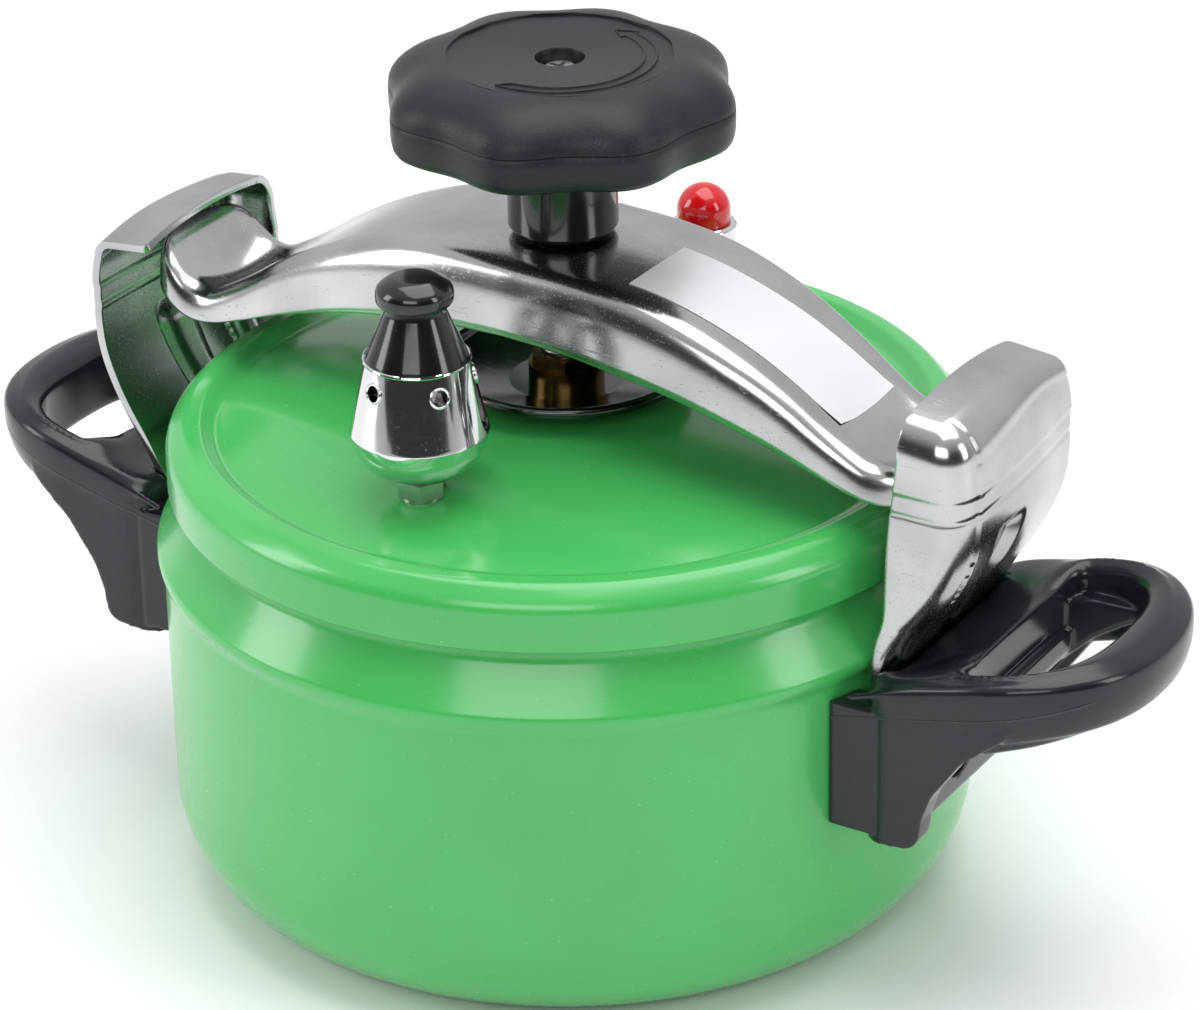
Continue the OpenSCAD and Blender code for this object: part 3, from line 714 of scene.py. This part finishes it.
def saucer():
    """Polished plate under the beam that spreads the screw's push over the lid; its steel is darkened as
    painted shade.
    """
    z = low("press_plate")
    outline = rounded([
        (6.05, z, 0), (13, z, 2), (28.4, z + 3.6, 2), (31.4, z + 4.2, 1.4), (31.2, z + 6.9, 1.1),
        (29.0, z + 6.8, 0.8), (28.4, z + 5.0, 1), (14, z + 1.2, 2), (6.05, z + 1.2, 0), (6.05, z, 0),
    ])
    piece = turned("saucer", outline, steps=128)
    return finished(piece, SHADED_STEEL, "lid_assembly", "polished_steel", "press_plate")


# ---- ears ----

EAR_OUT = [(78, 102.4), (83.5, 103.5), (89.6, 107), (96, 110.5), (102.7, 114.7), (109, 118),
           (116, 120.7), (122, 122), (130, 122.4), (140, 121.8), (147.5, 120)]
EAR_EDGE = [(78, 98.8), (92, 99.4), (100, 101.6), (108, 102), (116, 102.3), (126.5, 103),
            (134, 104), (143, 105), (152, 104.5)]


def ear_top(x, y):
    return 149.9 + 3 * (1 - (y / ear_half) ** 2) - 0.1 * (x - out - 108) + up


def ear_wall(u, z):
    """Point and outward direction on an ear's wall. u runs over its face, round its corner and along its
    closed side."""
    face, inner = curve(EAR_OUT, z) + out, curve(EAR_EDGE, z) + out
    bend = min(8.5, (face - inner) * 0.8)
    flat = 2 * ear_half - bend
    bow = math.pi / 2 * bend
    side = face - bend - inner
    at = u * (flat + bow + side)
    if at < flat:
        y = ear_half - at
        bulge = 1.1 * (1 - (y / ear_half) ** 2) * step_up(z, 88, 114)
        return face + bulge, y, 1, 0
    if at < flat + bow:
        a = (at - flat) / bend
        c, s = math.cos(a), math.sin(a)
        return face - bend + bend * c, -ear_half + bend - bend * s, c, -s
    return face - bend - (at - flat - bow), -ear_half, 0, -1


def ear_crease(y, z):
    """How far the wall is drawn in below the hood: a soft step and a shallow groove that rise towards +Y."""
    hood = 134.4 + 0.05 * (y + 10)
    step = 0.45 * (1 - step_up(z, hood - 0.9, hood + 0.9))
    groove = 0.32 * math.exp(-(((z - hood + 5.4) / 0.75) ** 2))
    return step + groove


def ear_rib(y, z):
    """One upright rib pressed into the outer face, narrower towards its foot."""
    half = curve([(84, 3.6), (102, 4.5), (118, 5.5)], z)
    sideways = 1 - step_up(abs(y + 2.5), half - 2.4, half + 1.8)
    return 2.7 * sideways * (1 - step_up(z, 116.5, 122.5)) * step_up(z, 80, 94)


def ear(name):
    """Hooked sheet ear: an upright wall bends over a shoulder into the top, which ends at the mouth."""
    columns, walls, bends, tops = 90, 132, 16, 18
    foot = 78
    mouth = rounded([(109.5 + out, ear_half, 0), (105 + out, ear_half, 1.6), (105 + out, -ear_half + 7.2, 0)])
    lengths = [0]
    for a, b in zip(mouth, mouth[1:]):
        lengths.append(lengths[-1] + math.dist(a, b))

    def on_mouth(u):
        at = u * lengths[-1]
        i = max(k for k in range(len(mouth) - 1) if lengths[k] <= at)
        t = (at - lengths[i]) / (lengths[i + 1] - lengths[i])
        return [mouth[i][k] + t * (mouth[i + 1][k] - mouth[i][k]) for k in (0, 1)]

    rows = []
    for i in range(walls + bends + tops + 1):
        row = []
        for j in range(columns + 1):
            u = 1 - j / columns
            shoulder = 4.2 + 4 * step_up(u, 0.15, 0.62)
            x, y, nx, ny = ear_wall(u, 147.5)
            ceiling = ear_top(x, y) - up
            if i <= walls:
                z = foot + (ceiling - shoulder - foot) * i / walls
                x, y, nx, ny = ear_wall(u, z)
                dent = ear_crease(y, z) + ear_rib(y, z) * nx
                row.append((x - nx * dent, y - ny * dent, z + up))
                continue
            x, y, nx, ny = ear_wall(u, ceiling - shoulder)
            if i <= walls + bends:
                a = math.pi / 2 * (i - walls) / bends
                x -= nx * shoulder * (1 - math.cos(a))
                y -= ny * shoulder * (1 - math.cos(a)) * 0.8
                dent = ear_crease(y, ceiling - shoulder) * (1 - math.sin(a))
                row.append((x - nx * dent, y - ny * dent, ear_top(x, y) - shoulder * (1 - math.sin(a))))
                continue
            t = (i - walls - bends) / tops
            x, y = x - nx * shoulder, y - ny * shoulder * 0.8
            mx, my = on_mouth(u)
            x, y = x + (mx - x) * t, y + (my - y) * t
            row.append((x, y, ear_top(x, y)))
        rows.append(row)
    piece = lofted(name, rows)
    shaped(piece, "SOLIDIFY", thickness=sheet * MM, offset=-1)
    tab = rod("tab", pot_r + 2.3, (0, 0, 52 + up), (0, 0, 85 + up), sides=256)
    cut(tab, rod("bore", pot_r + 0.05, (0, 0, 40), (0, 0, 99 + up), sides=256))
    block = [(80, 52), (120, 52), (120, 84), (80, 84)]
    cut(tab, across("block", block, 24, 48), operation="INTERSECT")
    piece = joined(name, piece, tab)
    shaped(piece, "BEVEL", width=0.35 * MM, segments=2, limit_method="ANGLE", angle_limit=math.radians(50))
    return piece


# ---- handles ----

HAND_TOP = [(96, 83.2), (104, 86.1), (112.3, 88.7), (122.6, 91.6), (130, 93.6), (140, 95.6), (150, 96.6),
            (163, 96.8)]
HAND_LOW = [(96, 74), (120, 75), (130, 77.6), (138, 80.2), (148, 82.4), (163, 84)]


def lobe(angle, width, height, power):
    """Distance from the middle of a rounded outline to its edge."""
    c, s = abs(math.cos(angle)) / width, abs(math.sin(angle)) / height
    return (c**power + s**power) ** (-1 / power)


def grip_outside(angle):
    if math.cos(angle) > 0:
        return lobe(angle, reach - 28, hand_half, 2.2)
    return lobe(angle, 28, hand_half, 8)


def grip_inside(angle):
    if math.cos(angle) > 0:
        return lobe(angle, reach - 41.5, hand_half - 8.5, 2.7)
    return lobe(angle, 5.5, hand_half - 8.5, 3.4)


def handle_ring():
    """The finger loop: one cross-section carried all the way round, highest at its outer end."""
    loops = []
    for k in range(180):
        a = math.radians(k * 2)
        c, s = math.cos(a), math.sin(a)
        ro, ri = grip_outside(a), grip_inside(a)
        m = (ro + ri) / 2
        section = [
            (ro - 1.0, 0.26, 0), (ro - 0.2, 0.52, 0), (ro, 0.78, 0), (ro - 0.2, 0.97, 0.2),
            (ro - 1.3, 1, 1.2), (ro - 4.4, 1, 2.4), (m, 1, 3.0), (ri + 3.2, 1, 2.5), (ri + 1.2, 1, 1.3),
            (ri + 0.2, 0.98, 0.1), (ri, 0.82, 0), (ri, 0.16, 0), (ri + 0.4, -0.1, 0), (ri + 2.2, -0.17, 0),
            (m, -0.08, 0), (ro - 4.2, 0, 0), (ro - 2.1, 0.08, 0),
        ]
        loop = []
        for r, share, rise in section:
            x, y = loop_x + r * c, r * s
            top, bottom = curve(HAND_TOP, x - out) + up, curve(HAND_LOW, x - out) + up
            spread = 1 if c > 0 else step_up(abs(y) / hand_half, 0.5, 0.8)
            loop.append((x, y, bottom + (top - bottom) * share + rise * spread))
        loops.append(flowing(loop, 3))
    loops.append(loops[0])
    return lofted("ring", loops, close=True)


def handle(name):
    """Moulded handle in one piece: loop, two cheeks, the screw web between them and the root on the pot."""
    ring = handle_ring()
    cheek = rounded([
        (92, 44.6, 0), (99.7, 45.7, 0), (116.6, 48.2, 4.5), (117.6, 56, 4), (120, 63, 10), (128, 74.6, 14),
        (139, 83.4, 6), (139, 88, 0), (130, 90.6, 0), (120, 87.4, 10), (107, 83.2, 10), (100, 83.6, 5),
        (92, 82, 0),
    ])
    cheeks = [across("cheek", cheek, y, 7) for y in (hand_half - 0.4, -hand_half + 7.4)]
    plan = []
    for k in range(120):
        a = math.radians(3 * k)
        r = grip_outside(a) - 0.4
        plan.append((loop_x + r * math.cos(a), r * math.sin(a)))
    for side in cheeks:
        cut(side, prism("edge", plan, 150), operation="INTERSECT")
    web = rounded([
        (105, 48.5, 0), (113, 49.5, 0), (114.9, 52, 2), (115.9, 59, 4), (117.6, 64.5, 6), (125.4, 74.6, 3),
        (125.4, 80, 0), (105, 80, 0),
    ])
    web = across("web", web, hand_half - 6, 2 * hand_half - 12)
    ledge = rounded([
        (100, 60, 0), (116, 62, 4), (122, 70, 10), (131, 79, 10), (139, 84.4, 4), (143, 86.5, 0),
        (143, 89.5, 0), (130, 89, 6), (100, 80, 0),
    ])
    ledges = [across("ledge", ledge, y, 7) for y in (hand_half - 6.5, -hand_half + 13.5)]
    root = rod("root", pot_r + 11.5, (0, 0, 48.5 + up), (0, 0, 81.5 + up), sides=256)
    trim = [(90, 45), (120, 45), (120, 88), (90, 88)]
    cut(root, across("trim", trim, hand_half - 1, 2 * hand_half - 2), operation="INTERSECT")
    piece = cut(ring, *cheeks, *ledges, root, web, operation="UNION")
    for y in (-1, 1):
        edge = [(x + out, y * 36.9, curve(HAND_TOP, x) + up - 0.3) for x in (98, 104, 110, 116, 122, 127)]
        cut(piece, wire("rib", edge, 0.9), operation="UNION")
    slot = [(90, 76), (102.9, 76), (103.1, 80.5), (104, 84), (107.7, 90), (111.4, 96.5), (90, 99)]
    cut(
        piece,
        rod("wall", pot_r + 0.05, (0, 0, 0), (0, 0, 200), sides=256),
        rod("bead", pot_r + 1.4, (0, 0, rim - 28), (0, 0, 200), sides=256),
        across("slot", slot, ear_half + 0.4, 2 * ear_half + 0.8),
    )
    for y in (-14, 14):
        cut(piece, rod("well", 5.4, (106.2 + out, y, 62 + up), (160 + out, y, 62 + up)),
            rod("hole", 2.65, (90 + out, y, 62 + up), (120 + out, y, 62 + up)))
    cut(piece, rod("vent", 1.1, (110 + out, 0, 66 + up), (130 + out, 0, 66 + up)))
    shaped(piece, "REMESH", mode="VOXEL", voxel_size=0.55 * MM, use_smooth_shade=True)
    shaped(piece, "SMOOTH", factor=0.5, iterations=6)
    return named(name)


# ---- beam ----

BEAM_REACH = 109.8  # half length that these outlines are drawn for
BEAM_TOP = [(0, 0), (20, -0.6), (35, -2.8), (48, -6.9), (60, -12.2), (70, -18), (79, -24.2), (87, -29),
            (92.5, -31.4), (98, -30.4), (103, -25.8), (107, -22.4), (110, -21.6)]
BEAM_LOW = [(0, -17), (20, -18.2), (45, -22.6), (66, -29.4), (80, -35), (89, -38.2), (96, -38.8),
            (102, -36.4), (106.5, -32.4), (110, -29.4)]
BEAM_WIDE = [(0, 1), (30, 0.975), (50, 0.92), (68, 0.83), (82, 0.77), (92, 0.745), (101, 0.735)]
BEAM_DISH = [(0, -0.5), (55, 0), (75, 1.2), (90, 2.4), (100, 2.2), (107, 0.8), (110, 0)]
BEAM_SIDE = [(1, 0.02), (0.995, 0.13), (0.985, 0.26), (0.976, 0.38), (0.965, 0.5), (0.952, 0.61),
             (0.935, 0.71), (0.912, 0.80), (0.885, 0.87), (0.852, 0.925), (0.815, 0.965), (0.765, 0.99),
             (0.71, 1)]


def drawn_at(x):
    return abs(x) * BEAM_REACH / tip


def swung(x, y, z):
    """A point of the beam after its small turn towards the ears' closed walls."""
    c, s = math.cos(beam_turn), math.sin(beam_turn)
    return (x * c - y * s, x * s + y * c, z)


def beam_surface(x, share):
    """Height of the beam's top at x; share is the distance from its middle line, 1 at the flange."""
    at = drawn_at(x)
    dish = curve(BEAM_DISH, at) * (1 - (share / 0.72) ** 2) if share < 0.72 else 0
    return beam_top + curve(BEAM_TOP, at) - dish


def beam_width(x):
    at = drawn_at(x)
    nose = max(0, (at - 96) / 13.8)
    return beam_half * curve(BEAM_WIDE, at) * max(0, 1 - nose**5) ** 0.42


def beam():
    """Pressed beam: a channel that is open underneath and solid at the nose of each end."""
    flat = [0.62, 0.5, 0.36, 0.22, 0.1, 0]
    rows = []
    steps = 150
    for i in range(steps + 1):
        x = tip * math.sin(math.pi * (i / steps - 0.5))
        at = drawn_at(x)
        bottom = beam_top + curve(BEAM_LOW, at)
        height = beam_surface(x, 1) - bottom
        wide = beam_width(x)
        outer = [(wide * s, bottom + height * h) for s, h in BEAM_SIDE]
        outer += [(wide * s, beam_surface(x, s)) for s in flat]
        outer += [(-y, z) for y, z in reversed(outer[:-1])]
        closing = step_up(at, 101, 107)
        inner = []
        for k, (y, z) in enumerate(outer):
            a, b = outer[max(k - 1, 0)], outer[min(k + 1, len(outer) - 1)]
            dy, dz = b[0] - a[0], b[1] - a[1]
            size = math.hypot(dy, dz) or 1
            iy, iz = y - sheet * dz / size, z + sheet * dy / size
            if y * iy < 0:
                iy = 0
            inner.append((iy + (y * 0.9 - iy) * closing, iz + (bottom + 0.2 - iz) * closing))
        edge_a = [(outer[-1][0] * 0.985, bottom - 0.25)] if wide > 3 else [(outer[-1][0] * 0.98, bottom)]
        edge_b = [(-edge_a[0][0], edge_a[0][1])]
        section = outer + edge_a + list(reversed(inner)) + edge_b
        rows.append([swung(x, y, z) for y, z in section])
    piece = lofted("beam_shell", rows, close=True)
    cut(piece, rod("bore", 9.02, (0, 0, beam_top - 10), (0, 0, beam_top + 10)))
    return finished(piece, STEEL, "clamp_beam", "polished_steel", "beam", angle=50)


def label():
    """Blank foil sticker on the beam, a little askew, with one corner not quite down."""
    rows = []
    for i in range(45):
        x = 29 + 55 * i / 44
        row = []
        for j in range(25):
            y = -12 + j + 0.085 * (x - 56) - 1.5
            lift = 0.16 + 0.35 * step_up(i / 44, 0.86, 1) * step_up(1 - j / 24, 0.75, 1)
            z = beam_surface(x, abs(y) / beam_width(x)) + lift
            row.append(swung(x, y, z))
        rows.append(row)
    piece = lofted("label", rows)
    shaped(piece, "SOLIDIFY", thickness=0.12 * MM, offset=0)
    return finished(piece, FOIL, "clamp_beam", "foil", "foil_label", angle=40)


# ---- knob ----

def knob():
    """Lobed grip over a glossy hub; its top has a sunk disc with the outline of an arrow."""
    thick, lobes, swell = 21, 8, 1.65
    first_lobe = math.radians(32.7)
    base = knob_top - thick
    # share of the height, inset from the widest line, share of the lobes' swell
    side = [(0, 14, 0.2), (0.004, 10.5, 0.4), (0.012, 7.6, 0.6), (0.03, 4.6, 0.8), (0.06, 2.6, 0.92),
            (0.10, 1.3, 1), (0.15, 0.6, 1), (0.21, 0.25, 1), (0.30, 0.02, 1), (0.40, 0, 1), (0.50, 0.0, 1),
            (0.513, 0.32, 1), (0.526, 0.04, 1), (0.60, 0.3, 1), (0.67, 0.95, 0.98), (0.73, 1.85, 0.95),
            (0.79, 3.05, 0.9), (0.85, 4.6, 0.83), (0.90, 6.3, 0.75), (0.94, 8.1, 0.65), (0.97, 10.0, 0.54),
            (0.99, 12.0, 0.42), (1, 14, 0.3)]
    # radius and height of the sunk disc and of the screw's hole, from the knob's top
    disc = [(27.3, 0), (27.0, -0.15), (26.9, -0.7), (26.6, -0.8), (6.5, -0.8), (6.0, -0.9), (5.8, -1.3),
            (5.8, -7), (0, -7)]
    angles = [math.radians(k * 1.875) for k in range(192)]
    rounds = [[(0, 0, base)] * len(angles)]
    for share, inset, depth in side:
        row = []
        for a in angles:
            r = knob_r - swell - inset + depth * swell * math.cos(lobes * (a + first_lobe))
            row.append((r * math.cos(a), r * math.sin(a), base + thick * share))
        rounds.append(row)
    for r, z in disc:
        rounds.append([(r * math.cos(a), r * math.sin(a), knob_top + z) for a in angles])
    piece = lofted("knob_grip", rounds, close=True)
    finished(piece, KNOB, "knob_and_spindle", "black_bakelite", "knob", angle=50)

    hub = turned("knob_hub", rounded([
        (6.05, hub_z, 0), (12.4, hub_z, 0.6), (13.3, hub_z + 1.2, 0.8), (13.3, base - 1.2, 0),
        (14.2, base + 0.4, 0), (6.05, base + 0.4, 0), (6.05, hub_z, 0),
    ]), steps=96)
    finished(hub, GLOSS, "knob_and_spindle", "black_bakelite")

    def on_disc(radius, angle):
        a = math.radians(angle)
        return (radius * math.cos(a), radius * math.sin(a), knob_top - 0.78)

    arrow = [on_disc(22.9, a) for a in range(-98, 71, 4)]
    arrow += [on_disc(24.0, 71), on_disc(21.0, 83), on_disc(18.6, 71), on_disc(20.0, 71)]
    arrow += [on_disc(20.0, a) for a in range(68, -93, -4)]
    ridge = wire("knob_arrow", arrow, 0.32, closed=True)
    finished(ridge, KNOB, "knob_and_spindle", "black_bakelite")


# ---- spindle ----

def spindle():
    """Steel screw with a rolled thread between the lid and the beam."""
    bottom, top = low("spindle"), high("spindle")
    core = turned("spindle_screw", rounded([
        (0, bottom, 0), (6.6, bottom, 0), (7.05, bottom + 0.45, 0.2), (7.05, bottom + 3.05, 0.2),
        (5.35, bottom + 3.05, 0), (5.35, top - 0.8, 0.3), (0, top - 0.8, 0),
    ]), steps=64)
    turns, start = 22, bottom + 4
    coil = [
        (5.45 * math.cos(a), 5.45 * math.sin(a), start + 2 * a / math.tau)
        for a in (math.tau * k / 24 for k in range(24 * turns + 1))
    ]
    thread = wire("thread", coil, 0.53)
    piece = joined("spindle_screw", core, thread)
    return finished(piece, PLAIN, "knob_and_spindle", "plain_steel", "spindle")


# ---- weight ----

def weight():
    """Chrome body with five drilled and rimmed holes, a thin collar, and the black cone and cap on top."""
    z, joint, w = low("weight_body"), high("weight_body"), weight_r
    body = turned("weight_body_shell", rounded([
        (4.1, z, 0), (w * 0.47, z, 0.6), (w * 0.78, z + 2.8, 6), (w * 0.95, z + 7, 8), (w, z + 11.0, 0.5),
        (w * 0.985, z + 12.0, 0.4), (w * 0.74, joint, 0.25), (4.6, joint, 0), (4.6, joint - 2.4, 0),
        (4.1, joint - 2.4, 0), (4.1, z, 0),
    ], step=6), weight_at, steps=128)
    lean = math.atan2(w * 0.245, joint - z - 12.4)
    level = z + 24
    r = w * 0.985 - (level - z - 12.4) * math.tan(lean)
    rims = []
    for k in range(5):
        a = math.radians(-34 + 72 * k)
        face = Vector((weight_at[0] + r * math.cos(a), weight_at[1] + r * math.sin(a), level))
        outward = Vector((math.cos(a) * math.cos(lean), math.sin(a) * math.cos(lean), math.sin(lean)))
        cut(body, rod("drill", 1.95, face - outward * 12.5, face + outward * 3, sides=40))
        fresh()
        bpy.ops.mesh.primitive_torus_add(
            location=face * MM, rotation=outward.to_track_quat("Z", "Y").to_euler(),
            major_radius=2.2 * MM, minor_radius=0.36 * MM, major_segments=40, minor_segments=10,
        )
        rims.append(settle(named("rim")))
    body = joined("weight_body_shell", body, *rims)
    finished(body, CHROME, "pressure_weight", "chrome", "weight_body", angle=40)

    cone = turned("weight_cone_shell", rounded([
        (2, joint + 0.02, 0), (w * 0.745, joint + 0.02, 0.2), (w * 0.72, joint + 1.1, 0.6),
        (7.2, joint + 12, 3), (7.0, joint + 13, 0), (2, joint + 13, 0), (2, joint + 0.02, 0),
    ]), weight_at, steps=96)
    finished(cone, GLOSS, "pressure_weight", "gloss_black", "weight_cone")

    top = joint + 13
    cap = turned("weight_cap_shell", rounded([
        (0, top + 0.02, 0), (7.2, top + 0.02, 0.6), (9.1, top + 1.5, 1.4), (9.1, top + 4.9, 3.2),
        (5.6, top + 7.35, 5), (0, top + 7.6, 0),
    ]), weight_at, steps=96)
    finished(cap, GLOSS, "pressure_weight", "gloss_black", "weight_cap")

    collar = wire("weight_collar", [
        (weight_at[0] + w * 0.75 * math.cos(a), weight_at[1] + w * 0.75 * math.sin(a), joint + 0.1)
        for a in (math.tau * k / 72 for k in range(72))
    ], 0.45, closed=True)
    finished(collar, CHROME, "pressure_weight", "chrome")


# ---- float valve ----

def float_valve():
    """Chrome bush on the lid and the red dome that rises out of it."""
    lift = low("float_cap")
    seat = dome_z(62.5) + 0.35
    bush = turned("float_bush_shell", rounded([
        (2.05, seat - 10, 0), (5.5, seat - 10, 0.4), (5.5, seat, 0), (8.7, seat, 0.3), (8.7, seat + 4, 0.5),
        (7.4, seat + 4.4, 0.4), (7.4, lift - 6.6, 0.6), (8.4, lift - 5.2, 0.8), (8.4, lift - 0.8, 0.5),
        (7.7, lift - 0.05, 0.3), (2.05, lift - 0.05, 0), (2.05, seat - 10, 0),
    ]), float_at, steps=96)
    finished(bush, CHROME, "lid_assembly", "chrome", "float_bush")
    radius = 6.8
    foot = [(0, lift), (6.45, lift), (6.7, lift + 0.1), (radius, lift + 0.4)]
    angles = [math.radians(a) for a in range(0, 90, 6)]
    dome = [(radius * math.cos(a), lift + 3 + radius * math.sin(a)) for a in angles]
    cap = turned("float_cap_shell", foot + dome + [(0, lift + 3 + radius)], float_at, steps=96)
    finished(cap, RED, "float_valve", "red_plastic", "float_cap", angle=60)


# ---- small CAD pieces keep their shape and get their finish ----

def dress(finish, *nodes):
    for node in nodes:
        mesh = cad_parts[node].data
        mesh.materials.clear()
        mesh.materials.append(finish)


pot()
lid()
saucer()
right_ear = ear("right_ear_shell")
left_ear = half_turn(right_ear, "left_ear_shell")
finished(right_ear, STEEL, "pot", "polished_steel", "right_ear", angle=40)
finished(left_ear, STEEL, "pot", "polished_steel", "left_ear", angle=40)
right_handle = handle("right_handle_shell")
left_handle = half_turn(right_handle, "left_handle_shell")
finished(right_handle, BAKELITE, "pot", "black_bakelite", "right_handle", angle=60)
finished(left_handle, BAKELITE, "pot", "black_bakelite", "left_handle", angle=60)
beam()
label()
knob()
spindle()
weight()
float_valve()
dress(PLAIN, "left_studs", "right_studs", "vent_pipe", "vent_nut", "vent_filter", "float_nut", "float_stem",
      "weight_needle", "knob_washer", "knob_screw")
dress(BRASS, "spindle_bush", "bush_cap", "beam_nut", "left_screws", "right_screws")
dress(GASKET, "gasket")
dress(SEAL, "float_seal")


# ---- studio ----

def paper_floor():
    fresh()
    bpy.ops.mesh.primitive_plane_add(size=12)
    floor = named("floor")
    paper = Finish("floor_paper")
    cloud = paper.noise(400, 2)
    paper.set(
        Base_Color=paper.mix(cloud, (0.89, 0.89, 0.90), (0.91, 0.91, 0.92)),
        Roughness=0.55 + cloud * 0.05,
    )
    floor.data.materials.append(paper.material)


def lamps():
    aim = (0, 0, 0.1)
    softbox("overhead", (0.1, 0.2, 1.7), aim, (1.7, 1.4), 21)
    softbox("left_window", (-1.4, -1.0, 0.8), aim, (0.6, 1.1), 10)
    softbox("right_window", (1.5, 0.1, 0.7), aim, (0.35, 0.9), 5)
    softbox("front_fill", (0.6, -1.7, 1.1), aim, (1.3, 0.7), 10)


def surroundings():
    """What the metal mirrors: a pale backdrop behind the canner, and before it a dark room, pale above."""
    world = bpy.data.worlds.new("studio")
    scene.world = world
    world.use_nodes = True
    tree = world.node_tree
    sky = tree.nodes["Background"]
    direction = tree.nodes.new("ShaderNodeTexCoord").outputs["Generated"]
    parts = tree.nodes.new("ShaderNodeSeparateXYZ")
    tree.links.new(direction, parts.inputs[0])
    facing = tree.nodes.new("ShaderNodeVectorMath")
    facing.operation = "DOT_PRODUCT"
    facing.inputs[1].default_value = (0.53, -0.85, 0)
    tree.links.new(direction, facing.inputs[0])
    side = tree.nodes.new("ShaderNodeMapRange")
    side.interpolation_type = "SMOOTHSTEP"
    side.inputs["From Min"].default_value = -0.25
    side.inputs["From Max"].default_value = 0.55
    tree.links.new(facing.outputs["Value"], side.inputs["Value"])
    both = tree.nodes.new("ShaderNodeMix")
    both.data_type = "RGBA"
    tree.links.new(side.outputs[0], both.inputs["Factor"])
    # height and brightness: low, middle and high
    backdrop = ((0, 0.78), (0.35, 0.92), (0.8, 0.95))
    room = ((0, 0.05), (0.42, 0.05), (0.8, 0.75))
    for name, stops in (("A", backdrop), ("B", room)):
        ramp = tree.nodes.new("ShaderNodeValToRGB")
        ends = ramp.color_ramp.elements
        ends[0].position, ends[1].position = stops[0][0], stops[2][0]
        ends.new(stops[1][0])
        for end, (_, level) in zip(ends, stops):
            end.color = (level, level, level * 1.02, 1)
        tree.links.new(parts.outputs["Z"], ramp.inputs[0])
        tree.links.new(ramp.outputs[0], colour_socket(both.inputs, name))
    tree.links.new(colour_socket(both.outputs, "Result"), sky.inputs[0])
    sky.inputs["Strength"].default_value = 0.8


paper_floor()
lamps()
surroundings()
scene.view_settings.view_transform = "Standard"
